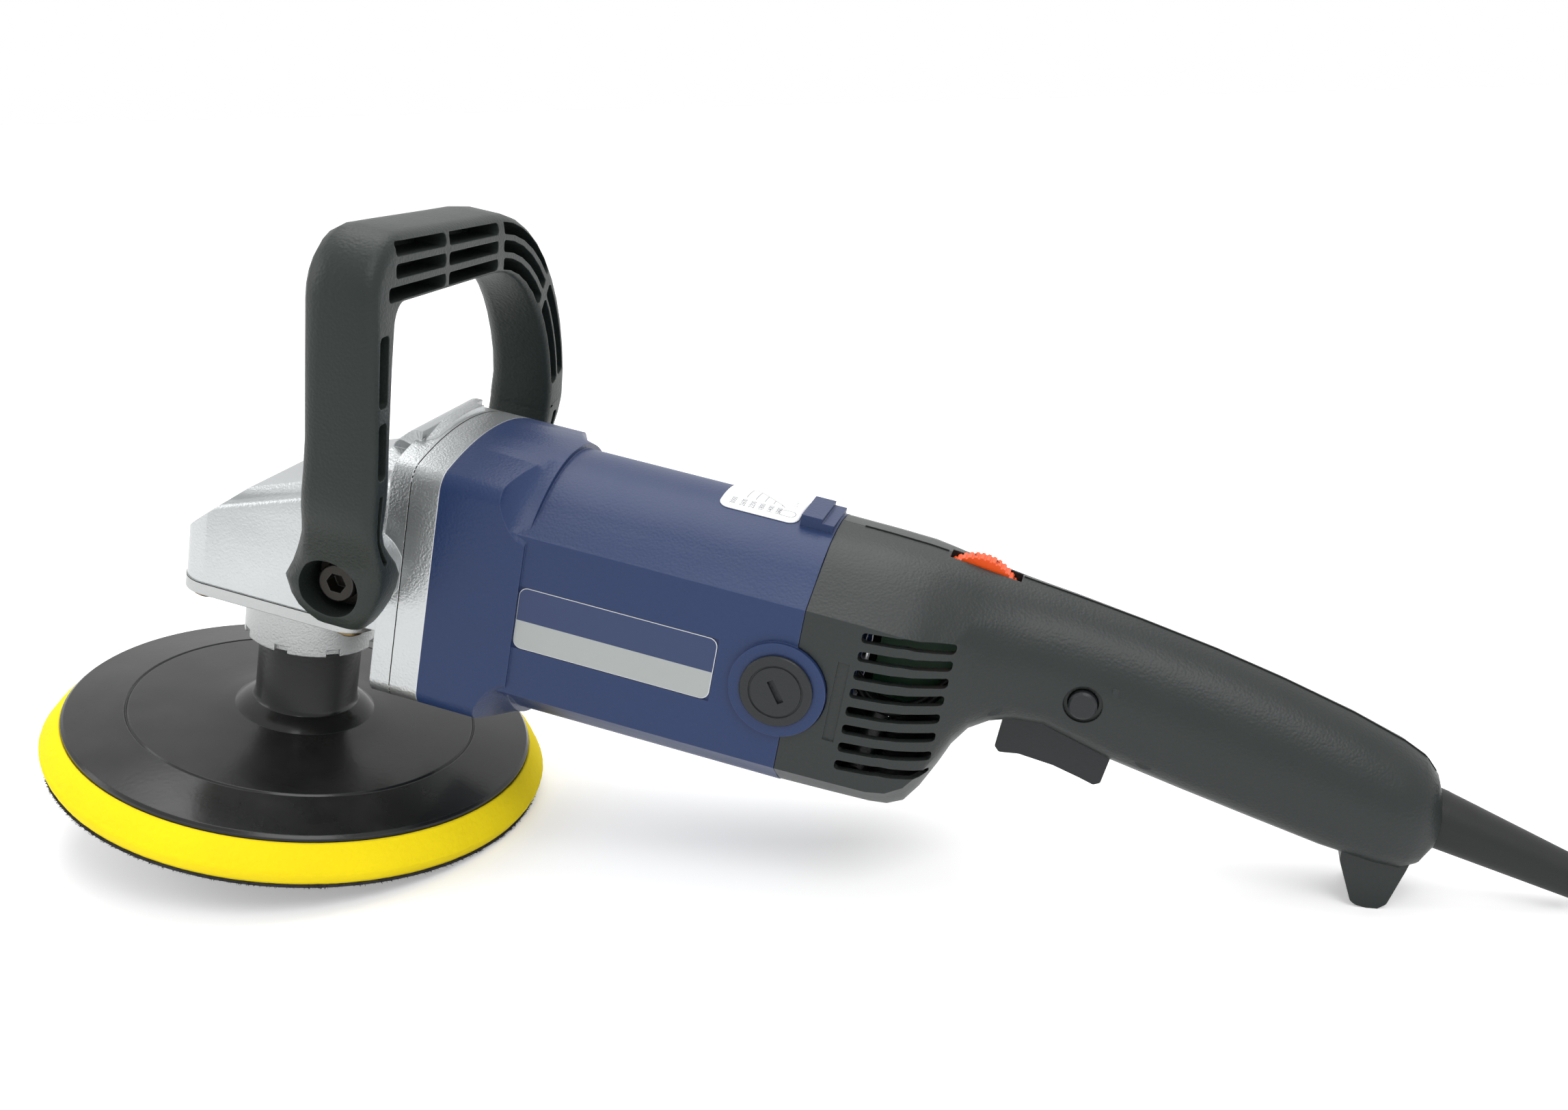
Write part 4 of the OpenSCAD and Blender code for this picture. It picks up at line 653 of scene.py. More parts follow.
@dataclass
class PowerCord:
    """The cord from the guard along the floor into its coil and to the plug, as one line."""

    radius: float = 3.75
    pitch: float = 7.5
    coil_r: float = 41.25
    columns: int = 4
    layers: int = 4
    guard_exit: Point = (388.0, 0.0, 96.3)
    guard_slope: float = 9.6
    guard_l: float = 48.0
    straight: Point = (0, 2, 4)
    floor_gap: float = 0.1
    settle_l: float = 30.0
    settle_steps: int = 8
    floor_x: Point = (485, 498, 511)
    coil_x: float = 524.0
    turn_steps: int = 48
    climb: float = 0.45
    lead_l: float = 48.0
    bend_steps: int = 6
    plug_drop: float = 18.1
    plug_l: float = 6.0

    def tail_point(self, along: float) -> Vector:
        """Return a point on the guard's axis, so many millimetres from the exit.

        Args:
            along: Distance from the exit.

        Returns:
            The point in the row frame, in millimetres.
        """
        base = REST @ Vector(self.guard_exit)
        fall = LEAN + math.radians(self.guard_slope)
        return base + Vector((along * math.cos(fall), 0, -along * math.sin(fall)))

    def route(self) -> list[Vector]:
        """Work out the cord's line.

        Returns:
            The points from the guard's small end to the plug, in metres.
        """
        low = FLOOR_Z * PER_METRE + self.radius + self.floor_gap
        points = [self.tail_point(self.guard_l + d) for d in self.straight]
        end = points[-1]
        for step in range(1, self.settle_steps + 1):
            share = step / self.settle_steps
            height = low + (end.z - low) * (1 - share) ** 2
            points.append(Vector((end.x + self.settle_l * share, 0, height)))
        points += [Vector((x, 0, low)) for x in self.floor_x]
        points += self._winding(low)
        points += self._lead(points[-1])
        return [p / PER_METRE for p in points]

    def _winding(self, low: float) -> list[Vector]:
        """Wind the coil as flat spirals on top of each other: in, out, in, out.

        Args:
            low: Height of the lowest turns' middle.

        Returns:
            Points of the winding in millimetres.
        """
        spiral = self.columns - 1
        outer = self.coil_r + spiral * self.pitch / 2
        inner = outer - spiral * self.pitch
        centre = Vector((self.coil_x, outer, 0))
        points: list[Vector] = []
        for index in range(1, spiral * self.layers * self.turn_steps + self.turn_steps // 4 + 1):
            turn = index / self.turn_steps
            layer = min(self.layers - 1, int(turn // spiral))
            along = turn - spiral * layer
            radius = outer - self.pitch * along if layer % 2 == 0 else inner + self.pitch * along
            climbs = (self._ease((turn - spiral * k) / self.climb + 0.5) for k in range(1, self.layers))
            height = self.pitch * sum(climbs)
            angle = math.radians(-90 + 360 * turn)
            place = Vector((radius * math.cos(angle), radius * math.sin(angle), low + height))
            points.append(centre + place)
        return points

    def _lead(self, start: Vector) -> list[Vector]:
        """Lead the last turn down into the plug in an S of two equal bends.

        Args:
            start: End of the winding.

        Returns:
            Points in millimetres.
        """
        aim = self.coil_x + self.coil_r + (self.columns - 1) * self.pitch / 2
        side = Vector((aim - start.x, 0, -self.plug_drop))
        wide = side.length
        bend = 2 * math.atan(wide / self.lead_l)
        radius = self.lead_l / (2 * math.sin(bend))
        points: list[Vector] = []
        for step in range(1, 2 * self.bend_steps + 1):
            share = step / self.bend_steps
            turn = bend * min(share, 2 - share)
            far, off = radius * math.sin(turn), radius * (1 - math.cos(turn))
            if share > 1:
                far, off = self.lead_l - far, wide - off
            points.append(start + Vector((0, far, 0)) + side * (off / wide))
        points.append(points[-1] + Vector((0, self.plug_l, 0)))
        return points

    @staticmethod
    def _ease(share: float) -> float:
        """Return a smooth step from 0 to 1."""
        share = min(1.0, max(0.0, share))
        return share * share * (3 - 2 * share)

    def build(self) -> None:
        route = self.route()
        curve = bpy.data.curves.new("cord_line", "CURVE")
        curve.dimensions = "3D"
        curve.bevel_depth = self.radius / PER_METRE
        curve.bevel_resolution = 3
        curve.use_fill_caps = True
        line = curve.splines.new("POLY")
        line.points.add(len(route) - 1)
        for point, place in zip(line.points, route):
            point.co = (*place, 1)
        line.use_smooth = True
        thing = put("cord_line", curve)
        curve.materials.append(DRESS.material(RUBBER))
        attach(thing, "machine")
        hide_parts("power_cord", "cord_coil")


@dataclass
class FoamPad:
    """The yellow foam disc and the hook layer under it, which turn with the spindle."""

    hook_r: float = 88.5
    hook_t: float = 1.6
    pad_r: float = 90.0
    rim_z: float = 6.3
    plate_r: float = 83.4
    plate_low: float = 13.3
    flat_r: float = 60.0
    steps: int = 360
    unevenness: float = 0.14
    uneven_from: float = 80.0
    long_wave: float = 0.9
    short_wave: float = 2.3
    short_share: float = 0.5
    uneven_z: float = 0.4
    low_shares: tuple[float, ...] = (0.25, 0.5, 0.75, 0.9)
    top_shares: tuple[float, ...] = (0.08, 0.2, 0.35, 0.5, 0.65, 0.8, 0.92, 1.0)
    low_inset: float = 0.5
    edge_w: float = 4.5
    lip_w: float = 0.6
    lip_h: float = 1.4
    crown: float = 0.5
    crown_rise: float = 0.6
    tuck: float = 0.3
    hook_low: float = 0.05
    hook_gap: float = 0.02
    hook_side: tuple[Flat, ...] = ((0.5, 0.2), (0.1, 0.7), (0.1, 1.2))
    hook_inset: Flat = (1.2, 0.6)
    fibres: int = 2600
    seed: int = 11
    fibre_root: Flat = (0.3, 1.3)
    fibre_reach: Flat = (0.5, 1.35)
    fibre_stray: float = 0.7
    fibre_rise: float = 0.35
    fibre_curl: float = 0.3
    fibre_thick: Flat = (0.07, 0.12)
    fibre_height: float = 1.6
    fibre_tip: float = 0.4

    def _revolve(self, profile: list[Flat], rough: float) -> Surface:
        """Turn a closed profile round the spindle, with a slightly uneven skin.

        Args:
            profile: Radius and height of its points; the first and the last lie on the axis.
            rough: How far the skin wanders, in millimetres.

        Returns:
            The surface.
        """
        inner = profile[1:-1]
        rows = len(inner)
        disc = Surface([tool(0, 0, profile[0][1]), tool(0, 0, profile[-1][1])])
        for step in range(self.steps):
            angle = 2 * math.pi * step / self.steps
            for radius, height in inner:
                place = Vector((radius * math.cos(angle), radius * math.sin(angle), height))
                wander = 0.0
                if radius > self.uneven_from:
                    short = self.short_share * noise.noise(place * self.short_wave)
                    wander = rough * (noise.noise(place * self.long_wave) + short)
                reach = (radius + wander) / radius
                disc.points.append(tool(place.x * reach, place.y * reach, height + self.uneven_z * wander))
        for step in range(self.steps):
            near, far = 2 + step * rows, 2 + (step + 1) % self.steps * rows
            disc.faces += [(0, far, near), (1, near + rows - 1, far + rows - 1)]
            disc.faces += [(near + k, far + k, far + k + 1, near + k + 1) for k in range(rows - 1)]
        return disc

    def foam(self) -> None:
        """Make the foam disc: a round side under a crowned one, up to a flat face round the plate."""
        low, rim = (self.hook_r - self.low_inset, self.hook_t), (self.pad_r, self.rim_z)
        top = (self.plate_r + self.lip_w, self.plate_low + self.lip_h)
        profile = [(r, self.hook_t) for r in (0, self.flat_r, self.hook_r - self.edge_w)] + [low]
        for share in self.low_shares:
            swell = math.sin(share * math.pi / 2)
            profile.append((low[0] + (rim[0] - low[0]) * swell, low[1] + (rim[1] - low[1]) * share))
        profile.append(rim)
        for share in self.top_shares:
            crown = self.crown * math.sin(share * math.pi)
            radius = rim[0] + (top[0] - rim[0]) * share + crown - self.tuck
            profile.append((radius, rim[1] + (top[1] - rim[1]) * share + crown * self.crown_rise))
        profile += [(r, self.plate_low) for r in (self.plate_r - self.lip_w, self.flat_r, 0)]
        thing = self._revolve(profile, self.unevenness).piece("foam_disc", "spindle_unit", "foam", FOAM)
        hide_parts("pad_foam")

    def _fibre(self, disc: Surface, draw: random.Random) -> None:
        """Add one stray fibre at the hook layer's rim.

        Args:
            disc: The layer so far.
            draw: The source of random numbers.
        """
        angle = draw.uniform(0, 2 * math.pi)
        out = Vector((math.cos(angle), math.sin(angle), 0))
        side = Vector((-math.sin(angle), math.cos(angle), 0))
        root = out * (self.hook_r - self.hook_inset[1]) + Vector((0, 0, draw.uniform(*self.fibre_root)))
        tip = root + out * draw.uniform(*self.fibre_reach)
        tip += side * draw.uniform(-self.fibre_stray, self.fibre_stray)
        tip += Vector((0, 0, draw.uniform(-self.fibre_rise, self.fibre_rise)))
        middle = (root + tip) / 2 + side * draw.uniform(-self.fibre_curl, self.fibre_curl)
        middle.z = max(self.hook_low, middle.z)
        tip.z = max(self.hook_low, tip.z)
        thick = draw.uniform(*self.fibre_thick)
        points: list[Vector] = []
        for place, size in ((root, thick), (middle, thick), (tip, self.fibre_tip * thick)):
            ridge = place + Vector((0, 0, self.fibre_height * size))
            points += [tool(*corner) for corner in (place + side * size, place - side * size, ridge)]
        faces: list[Face] = []
        for level in (0, 3):
            for k in range(3):
                a, b = level + k, level + (k + 1) % 3
                faces.append((a, b, b + 3, a + 3))
        disc.add(points, [*faces, (2, 1, 0), (6, 7, 8)])

    def hook(self) -> None:
        """Make the hook layer with its frayed rim."""
        low, top = self.hook_low, self.hook_t - self.hook_gap
        side = [(self.hook_inset[0], low), *self.hook_side, (self.hook_inset[1], top)]
        rim = [(self.hook_r - inset, z) for inset, z in side]
        profile = [(0, low), (self.flat_r, low), *rim, (self.flat_r, top), (0, top)]
        disc = self._revolve(profile, 2 * self.unevenness)
        draw = random.Random(self.seed)
        for _ in range(self.fibres):
            self._fibre(disc, draw)
        thing = disc.piece("hook_disc", "spindle_unit", "foam_hook", HOOK)
        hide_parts("pad_hook")

    def build(self) -> None:
        """Make both layers."""
        self.foam()
        self.hook()


@dataclass
class NamePlate:
    """The bare two-tone print on the housing's plate."""

    x: float = 90.1
    z: float = 87.2
    length: float = 67.3
    height: float = 21.4
    corner: float = 3.0
    corner_steps: int = 8
    border: float = 0.25
    face_y: float = -39.905
    thick: float = 0.05
    split: float = 0.46

    def _outline(self) -> list[Flat]:
        """Work out the rounded outline, anticlockwise seen from the near side.

        Returns:
            Its points, as place along the tool and height.
        """
        near, right, top = self.corner, self.length - self.corner, self.height - self.corner
        radius = self.corner - self.border
        points: list[Flat] = []
        for x, z, start in ((right, near, -90), (right, top, 0), (near, top, 90), (near, near, 180)):
            for step in range(self.corner_steps + 1):
                angle = math.radians(start + 90 * step / self.corner_steps)
                points.append((self.x + x + radius * math.cos(angle), self.z + z + radius * math.sin(angle)))
        return points

    def build(self) -> None:
        """Make the print, cut in two where its tone changes, with its points always in the same order."""
        mesh = bmesh.new()
        mesh.faces.new([mesh.verts.new((x, z, 0)) for x, z in self._outline()])
        level = self.z + self.split * self.height
        bmesh.ops.bisect_plane(mesh, geom=mesh.verts[:] + mesh.edges[:] + mesh.faces[:],
                               plane_co=(0, level, 0), plane_no=(0, 1, 0))
        grown = bmesh.ops.extrude_face_region(mesh, geom=mesh.faces[:])
        for vert in (g for g in grown["geom"] if isinstance(g, bmesh.types.BMVert)):
            vert.co.z = self.thick
        verts = sorted(mesh.verts, key=lambda v: v.co[:])
        walls = sorted(mesh.faces, key=lambda f: f.calc_center_median()[:])
        number = {vert: k for k, vert in enumerate(verts)}
        sheet = Surface([tool(v.co.x, self.face_y - v.co.z, v.co.y) for v in verts],
                        [tuple(number[v] for v in f.verts) for f in walls])
        upper = [f.calc_center_median().y > level for f in walls]
        mesh.free()
        thing = sheet.piece("plate_print", "machine", "plate_silver", PRINT_LOW, PRINT_TOP)
        for polygon, top in zip(thing.data.polygons, upper):
            polygon.material_index = int(top)
            polygon.use_smooth = False


@dataclass
class SpeedChart:
    """The white film on the motor housing with its chart of speeds."""

    x: float = 143.0
    length: float = 27.0
    half: float = 12.2
    corner: float = 3.6
    axis_z: float = 98.0
    radius: float = 46.05
    thick: float = 0.3
    ink: float = 0.02
    across: int = 48
    rows: int = 28
    columns: tuple[tuple[float, str, float], ...] = (
        (147.0, "3000", 0.0), (150.4, "2600", 8.0), (153.5, "2200", 7.2), (156.6, "1800", 3.6),
        (159.6, "1400", 0.8), (162.4, "1000", -1.6),
    )
    fan_end: Flat = (163.6, -3.2)
    foot_shift: float = 0.9
    text_size: float = 2.5
    text_v: float = -9.4
    line_v: float = -2.6
    line_w: float = 0.2
    line_step: float = 0.8
    stops: int = 5
    stop_x: Flat = (167.2, -0.15)
    stop_v: Flat = (-2.4, 2.3)
    stop_size: float = 1.5
    knob: Flat = (164.6, -7.0)
    knob_r: float = 2.0
    knob_start: float = 90.0
    knob_step: float = 15.0
    knob_points: int = 13
    knob_foot: tuple[Flat, ...] = ((167.4, -9.0), (168.2, -7.6), (168.2, -6.2), (167.4, -5.0))

    def on_film(self, x: float, v: float, up: float) -> Vector:
        """Wrap a point of the flat film round the housing.

        Args:
            x: Place along the motor.
            v: Way round from the top, positive to the far side.
            up: Height over the housing's skin.

        Returns:
            The point in the row frame.
        """
        reach = self.radius + up
        angle = v / self.radius
        return tool(x, reach * math.sin(angle), self.axis_z + reach * math.cos(angle))

    def film(self) -> None:
        """Make the film with round corners."""
        across, rows = self.across, self.rows
        sheet = Surface()
        for up in (0.0, self.thick):
            for i in range(across + 1):
                v = -math.cos(math.pi * i / across) * self.half
                side = max(0.0, self.corner - (self.half - abs(v)))
                inset = self.corner - math.sqrt(max(0.0, self.corner**2 - side**2))
                for j in range(rows + 1):
                    x = self.x + inset + (self.length - 2 * inset) * j / rows
                    sheet.points.append(self.on_film(x, v, up))
        width = rows + 1
        back = (across + 1) * width
        for i in range(across):
            for j in range(rows):
                a, b = i * width + j, (i + 1) * width + j
                sheet.faces += [(back + a, back + a + 1, back + b + 1, back + b), (b, b + 1, a + 1, a)]
        rim = [*range(width)] + [i * width + rows for i in range(1, across + 1)]
        rim += [across * width + j for j in range(rows - 1, -1, -1)]
        rim += [i * width for i in range(across - 1, 0, -1)]
        sheet.faces += [(a, b, back + b, back + a) for a, b in zip(rim, rim[1:] + rim[:1])]
        thing = sheet.piece("chart_film", "machine", "sticker", WHITE_FILM)
        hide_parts("speed_chart")

    def _stroke(self, way: list[Flat], sheet: Surface) -> None:
        """Add one inked line.

        Args:
            way: The line's points on the flat film.
            sheet: The print so far.
        """
        fine: list[Flat] = []
        for (x0, v0), (x1, v1) in zip(way, way[1:]):
            count = max(1, int(math.hypot(x1 - x0, v1 - v0) / self.line_step))
            fine += [(x0 + (x1 - x0) * k / count, v0 + (v1 - v0) * k / count) for k in range(count)]
        fine.append(way[-1])
        points: list[Vector] = []
        for k, (x, v) in enumerate(fine):
            ahead, behind = fine[min(k + 1, len(fine) - 1)], fine[max(k - 1, 0)]
            run = Vector((ahead[0] - behind[0], ahead[1] - behind[1])).normalized() * (self.line_w / 2)
            points.append(self.on_film(x - run.y, v + run.x, self.thick + self.ink))
            points.append(self.on_film(x + run.y, v - run.x, self.thick + self.ink))
        sheet.add(points, [(a, a + 1, a + 3, a + 2) for a in range(0, 2 * len(fine) - 2, 2)])

    def _words(self, text: str, x: float, v: float, size: float, sheet: Surface) -> None:
        """Add a number to the print, with its foot line at x, starting at v and read to the far side."""
        points, faces = figures(text, size)
        sheet.add([self.on_film(x - p.y, v + p.x, self.thick + self.ink) for p in points], faces)

    def printed(self) -> None:
        """Make the printed numbers, the fan of lines and the little knob."""
        sheet = Surface()
        for x, text, reach in self.columns:
            self._words(text, x + self.foot_shift, self.text_v, self.text_size, sheet)
            if reach:
                self._stroke([(x, self.line_v), (x, reach)], sheet)
        self._stroke([(x, reach) for x, _, reach in self.columns[1:]] + [self.fan_end], sheet)
        for k in range(self.stops):
            x, v = self.stop_x[0] + self.stop_x[1] * k, self.stop_v[0] + self.stop_v[1] * k
            self._words(str(k + 1), x, v, self.stop_size, sheet)
        turns = [math.radians(self.knob_start + self.knob_step * k) for k in range(self.knob_points)]
        (x, v), r = self.knob, self.knob_r
        knob = [(x + r * math.cos(a), v + r * math.sin(a)) for a in turns]
        self._stroke([*knob, *self.knob_foot, knob[0]], sheet)
        sheet.piece("chart_print", "machine", "sticker", INK)

    def build(self) -> None:
        """Make the film and its print."""
        self.film()
        self.printed()


@dataclass
class CastArrow:
    """The raised arrow on the crown of the gear housing's flange, for the way the spindle turns."""

    front: float = 43.1
    back: float = 48.3
    tip: float = -24.0
    blunt: float = 0.2
    shoulder: float = -20.0
    end: float = 20.0
    end_round: float = 2.0
    end_least: float = 0.05
    end_rise: float = 0.25
    crown: float = 116.0
    top_z: float = 145.6
    low: float = 0.5
    high: float = 2.0
    bevel: float = 0.6
    sunk: float = 0.3
    wall: float = 0.1
    thinnest: float = 0.08
    count: int = 30

    def crown_z(self, y: float) -> float:
        """Return the height of the flange's crown in the tool frame, over a point across the tool."""
        return self.top_z - self.crown + math.sqrt(self.crown**2 - y**2)

    def build(self) -> None:
        """Make the arrow as one closed bar with sloping sides and a pointed near end."""
        middle, half = (self.front + self.back) / 2, (self.back - self.front) / 2
        bar = Surface()
        for k in range(self.count + 1):
            y = self.tip + self.blunt + (self.end - self.tip - self.blunt) * k / self.count
            left = self.end - y
            wide = half * min(1.0, (y - self.tip) / (self.shoulder - self.tip))
            wide *= math.sqrt(max(self.end_least, 1 - max(0.0, 1 - left / self.end_round) ** 2))
            share = (y - self.tip) / (self.end - self.tip)
            rise = (self.low + (self.high - self.low) * share) * min(1.0, self.end_rise + left)
            inner = max(self.thinnest, wide - self.bevel)
            side = [(wide, -self.sunk), (wide, self.wall), (inner, rise)]
            for x, z in [(-x, z) for x, z in side] + side[::-1]:
                bar.points.append(tool(middle + x, y, self.crown_z(y) + z))
        corners = 2 * len(side)
        for first in range(0, corners * self.count, corners):
            for i in range(corners):
                a, b = first + i, first + (i + 1) % corners
                bar.faces.append((a, a + corners, b + corners, b))
        last = corners * self.count
        bar.faces += [tuple(range(corners)), tuple(last + i for i in reversed(range(corners)))]
        DRESS.soften(bar.piece("cast_arrow", "machine", "cast_head", CAST_HEAD))


@dataclass
class ShellSeam:
    """The dark parting line where the two rear shells meet along the top."""

    start: float = 190.5
    stop: float = 421.0
    step: float = 1.5
    beside: float = -0.4
    above: float = 200.0
    half: float = 0.3
    lift: float = 0.32
    sunk: float = 0.2
    jump: float = 1.6
    gap_steps: float = 1.5
    fewest: int = 5

    def tops(self) -> list[list[Flat]]:
        """Find the line along the top of the near shell, broken at the dial's opening.

        Returns:
            Runs of tool-frame points, as place along the tool and height.
        """
        shell, back = ray_target("rear_shell_near"), REST.inverted()
        down = (tool(0, 0, -1) - tool(0, 0, 0)).normalized()
        runs: list[list[Flat]] = [[]]
        for k in range(int((self.stop - self.start) / self.step) + 1):
            x = self.start + self.step * k
            hit = shell.ray_cast(tool(x, self.beside, self.above), down)[0]
            if hit is None:
                continue
            z = (back @ hit).z * PER_METRE
            last = runs[-1][-1] if runs[-1] else None
            if last and (x - last[0] > self.gap_steps * self.step or abs(z - last[1]) > self.jump):
                runs.append([])
            runs[-1].append((x, z))
        return [run for run in runs if len(run) >= self.fewest]

    def build(self) -> None:
        """Make the line as a thin dark ribbon."""
        seam = Surface()
        for run in self.tops():
            points = [tool(x, y, z + up) for x, z in run for y in (-self.half, self.half)
                      for up in (self.lift, -self.sunk)]
            faces: list[Face] = []
            for a in range(0, 4 * len(run) - 4, 4):
                faces += [(a, a + 4, a + 6, a + 2), (a, a + 1, a + 5, a + 4), (a + 2, a + 6, a + 7, a + 3)]
            seam.add(points, faces)
        seam.piece("shell_seam", "machine", "shell_plastic", SHADOW_LINE)


@dataclass
class JointLines:
    """Thin dark lines where the castings of the head meet: plate to housing, and housing to bracket."""

    count: int = 200
    far: float = 90.0
    half: float = 0.16
    proud: float = 0.05
    longest: float = 3.2
    inside: float = 0.1
    plate_z: float = 76.8
    plate_reach: float = 46.0
    head_back: float = 34.0
    bracket_x: float = 49.5
    motor_z: float = 98.0
    bracket_reach: float = 64.0

    def ring(self, node: str, centre: Point, side: Vector, rise: Vector, reach: float) -> list[Hit]:
        """Find points round a node in one plane, seen from its middle.

        Args:
            node: The node that the line lies on.
            centre: Middle of the plane in the tool frame.
            side: First direction of the plane in the tool frame.
            rise: Second direction of the plane in the tool frame.
            reach: Hits farther out than this belong to other shapes.

        Returns:
            Point and outward direction for each ray, or None where it meets nothing near.
        """
        target, middle, turn = ray_target(node), tool(*centre), REST.to_3x3()
        found: list[Hit] = []
        for k in range(self.count):
            angle = math.tau * k / self.count
            out = (turn @ (side * math.cos(angle) + rise * math.sin(angle))).normalized()
            hit = target.ray_cast(middle + out * (self.far / PER_METRE), -out)[0]
            near = hit is not None and (hit - middle).length * PER_METRE < reach
            found.append((hit, out) if near else None)
        return found

    def ribbon(self, ring: list[Hit], across: Vector, limit: float, lines: Surface) -> None:
        """Add a flat band along a ring of points, broken where the ring jumps.

        Args:
            ring: Points and outward directions.
            across: Direction of the band's width in the tool frame.
            limit: Points farther back along the tool than this are left out.
            lines: The lines so far.
        """
        turn, back = REST.to_3x3(), REST.inverted()
        wide = turn @ across.normalized() * (self.half / PER_METRE)
        for first, second in zip(ring, ring[1:] + ring[:1]):
            if first is None or second is None or (first[0] - second[0]).length * PER_METRE > self.longest:
                continue
            if max((back @ first[0]).x, (back @ second[0]).x) * PER_METRE > limit:
                continue
            skins = [place + out * (self.proud / PER_METRE) for place, out in (first, second)]
            lines.add([corner for skin in skins for corner in (skin - wide, skin + wide)], [(0, 2, 3, 1)])

    def build(self) -> None:
        """Make both lines as one piece."""
        lines = Surface()
        x_way, y_way, z_way = Vector((1, 0, 0)), Vector((0, 1, 0)), Vector((0, 0, 1))
        plate = (0, 0, self.plate_z - self.inside)
        low = self.ring("bearing_plate", plate, x_way, y_way, self.plate_reach)
        self.ribbon(low, z_way, self.head_back, lines)
        bracket = (self.bracket_x + self.inside, 0, self.motor_z)
        rear = self.ring("bearing_bracket", bracket, y_way, z_way, self.bracket_reach)
        self.ribbon(rear, x_way, math.inf, lines)
        lines.piece("joint_lines", "machine", "cast_head", SHADOW_LINE)


@dataclass
class DialFigures:
    """Small numbers round the rim of the speed dial."""

    x: float = 230.5
    z: float = 129.6
    radius: float = 14.43
    size: float = 3.0
    spacing: float = 30.0
    first: float = -75.0
    count: int = 6

    def build(self) -> None:
        """Make the numbers, bent round the rim."""
        rim = Surface()
        third = self.size / 3
        for k in range(self.count):
            middle = math.radians(self.first + self.spacing * k)
            flat, faces = figures(str(k + 1), self.size, "CENTER")
            bent = [(middle + (third - p.x) / self.radius, p.y - third) for p in flat]
            rim.add([tool(self.x + self.radius * math.sin(angle), y, self.z + self.radius * math.cos(angle))
                     for angle, y in bent], faces)
        rim.piece("dial_figures", "speed_dial", "dial_orange", SHADOW_LINE)


@dataclass
class InnerLeads:
    """Insulated leads inside the rear shells, from the brush gear past the board to the switch."""

    radius: float = 0.95
    route: tuple[Point, ...] = (
        (193.5, -16, 103), (200, -13, 94), (209, -9.5, 85.6), (219, -6, 86.6), (230, -3.5, 99),
        (240, -4, 112), (252.2, -4, 115),
    )
    shifts: tuple[Point, ...] = ((0, 0, 0), (0.6, 2.4, -0.8), (-0.4, 1.1, 2.2), (0.3, 4.2, 1.6))

    def build(self) -> None:
        """Make the leads as round tubes side by side."""
        curve = bpy.data.curves.new("inner_leads", "CURVE")
        curve.dimensions = "3D"
        curve.bevel_depth = self.radius / PER_METRE
        curve.bevel_resolution = 2
        curve.use_fill_caps = True
        for dx, dy, dz in self.shifts:
            line = curve.splines.new("BEZIER")
            line.bezier_points.add(len(self.route) - 1)
            for knot, (x, y, z) in zip(line.bezier_points, self.route):
                knot.co = tool(x + dx, y + dy, z + dz)
                knot.handle_left_type = knot.handle_right_type = "AUTO"
        Surface(*melt(curve)).piece("inner_leads", "machine", "cord_rubber", RUBBER)


@dataclass(frozen=True)
class Lamp:
    """One soft square lamp: its place and its aim in metres, its side in metres, its power in watts."""

    name: str
    place: Point
    aim: Point
    size: float
    power: float

    def build(self) -> None:
        """Hang the lamp."""
        data = bpy.data.lights.new(self.name, "AREA")
        data.size = self.size
        data.energy = self.power
        thing = put(self.name, data)
        thing.location = self.place
        thing.rotation_euler = (Vector(self.aim) - Vector(self.place)).to_track_quat("-Z", "Y").to_euler()
        log.info("hung lamp %s", self.name)


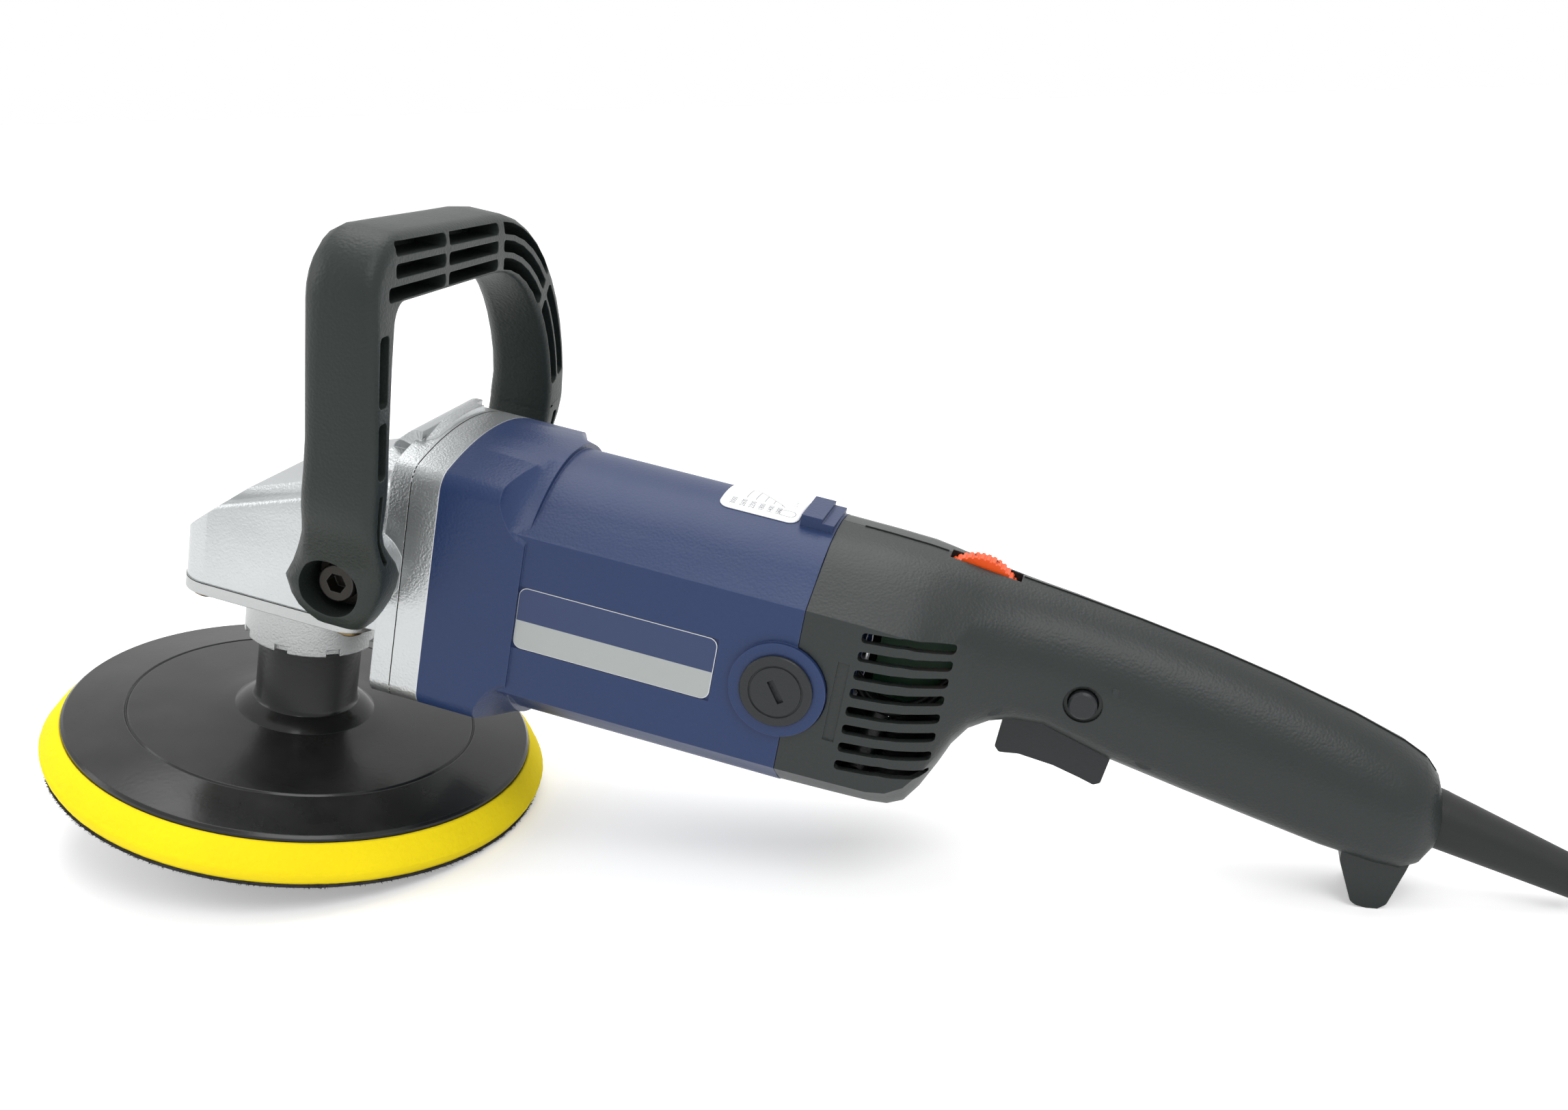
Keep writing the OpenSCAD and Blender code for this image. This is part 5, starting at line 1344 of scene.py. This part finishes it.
@dataclass
class Studio:
    """Floor, light and camera."""

    lens: float = 37.94
    sensor: float = 36.0
    eye: Point = (252.87, -509.25, 317.07)
    right: Point = (0.9557, 0.2313, 0.1818)
    up: Point = (-0.248, 0.3013, 0.9207)
    back: Point = (0.1582, -0.925, 0.3454)
    clip: Flat = (0.01, 50)
    floor_half: float = 6.0
    floor_drop: float = 0.0002
    floor_white: float = 0.96
    floor_roughness: float = 0.7
    floor_specular: float = 0.2
    floor_lift: float = 0.3
    world_light: float = 0.72
    world_seen: float = 1.0
    lamps: tuple[Lamp, ...] = (
        Lamp("key", (0.9, -0.9, 1.5), (0.2, 0, 0.05), 0.9, 11),
        Lamp("top", (0.1, 0.5, 1.7), (0.2, 0, 0.05), 1.4, 17),
        Lamp("side", (-1.2, -0.5, 0.8), (0.1, 0, 0.1), 0.8, 5),
    )

    def camera(self) -> None:
        """Place the camera at the viewing angle."""
        data = bpy.data.cameras.new("view")
        data.sensor_fit = "HORIZONTAL"
        data.sensor_width = self.sensor
        data.lens = self.lens
        data.clip_start, data.clip_end = self.clip
        thing = put("view", data)
        turn = Matrix((self.right, self.up, self.back)).transposed().to_4x4()
        thing.matrix_world = REST @ Matrix.Translation(Vector(self.eye) / PER_METRE) @ turn
        bpy.context.scene.camera = thing
        log.info("placed the camera")

    @staticmethod
    def direct_view(bench: Bench) -> bpy.types.NodeSocket:
        """Add nodes that tell rays from the eye, a gloss or a clear piece from the rest.

        Args:
            bench: The bench of the floor or the world.

        Returns:
            A socket that is one for such rays and nought for others.
        """
        path = bench.add("ShaderNodeLightPath")
        seen = path.outputs["Is Camera Ray"]
        for kind in ("Is Glossy Ray", "Is Transmission Ray"):
            seen = bench.maths("MAXIMUM", seen, path.outputs[kind])
        return seen

    def floor(self) -> None:
        """Lay the pale floor."""
        mesh = bpy.data.meshes.new("floor")
        half, z = self.floor_half, FLOOR_Z - self.floor_drop
        corners = [(-half, -half, z), (half, -half, z), (half, half, z), (-half, half, z)]
        mesh.from_pydata(corners, [], [(0, 1, 2, 3)])
        thing = put("floor", mesh)
        material = bpy.data.materials.new("floor")
        material.use_nodes = True
        bench = Bench(material.node_tree)
        bench.feed(material.node_tree.nodes["Principled BSDF"], {
            "Base Color": (*[self.floor_white] * 3, 1),
            "Roughness": self.floor_roughness,
            "Specular IOR Level": self.floor_specular,
            "Emission Color": (1, 1, 1, 1),
            "Emission Strength": bench.maths("MULTIPLY", self.direct_view(bench), self.floor_lift),
        })
        mesh.materials.append(material)
        log.info("laid the floor")

    def world(self) -> None:
        """Light the scene softly and show white behind it."""
        world = bpy.data.worlds.new("studio")
        bpy.context.scene.world = world
        world.use_nodes = True
        bench = Bench(world.node_tree)
        level = bench.add("ShaderNodeMix")
        level.data_type = "FLOAT"
        bench.feed(level, {0: self.direct_view(bench), 2: self.world_light, 3: self.world_seen})
        background = world.node_tree.nodes["Background"]
        bench.feed(background, {"Color": (1, 1, 1, 1), "Strength": level.outputs[0]})
        bpy.context.scene.view_settings.view_transform = "Standard"
        log.info("set the world")

    def build(self) -> None:
        """Set up everything round the object."""
        self.camera()
        self.floor()
        self.world()
        for lamp in self.lamps:
            lamp.build()


def main() -> None:
    """Build the looks in order."""
    logging.basicConfig(level=logging.INFO, format="%(name)s: %(message)s")
    makers = (Studio(), PowerCord(), FoamPad(), NamePlate(), SpeedChart(), CastArrow(), ShellSeam(),
              JointLines(), DialFigures(), InnerLeads())
    for maker in makers:
        maker.build()
    for name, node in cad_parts.items():
        DRESS.dress(name, node)


if __name__ == "__main__":
    main()
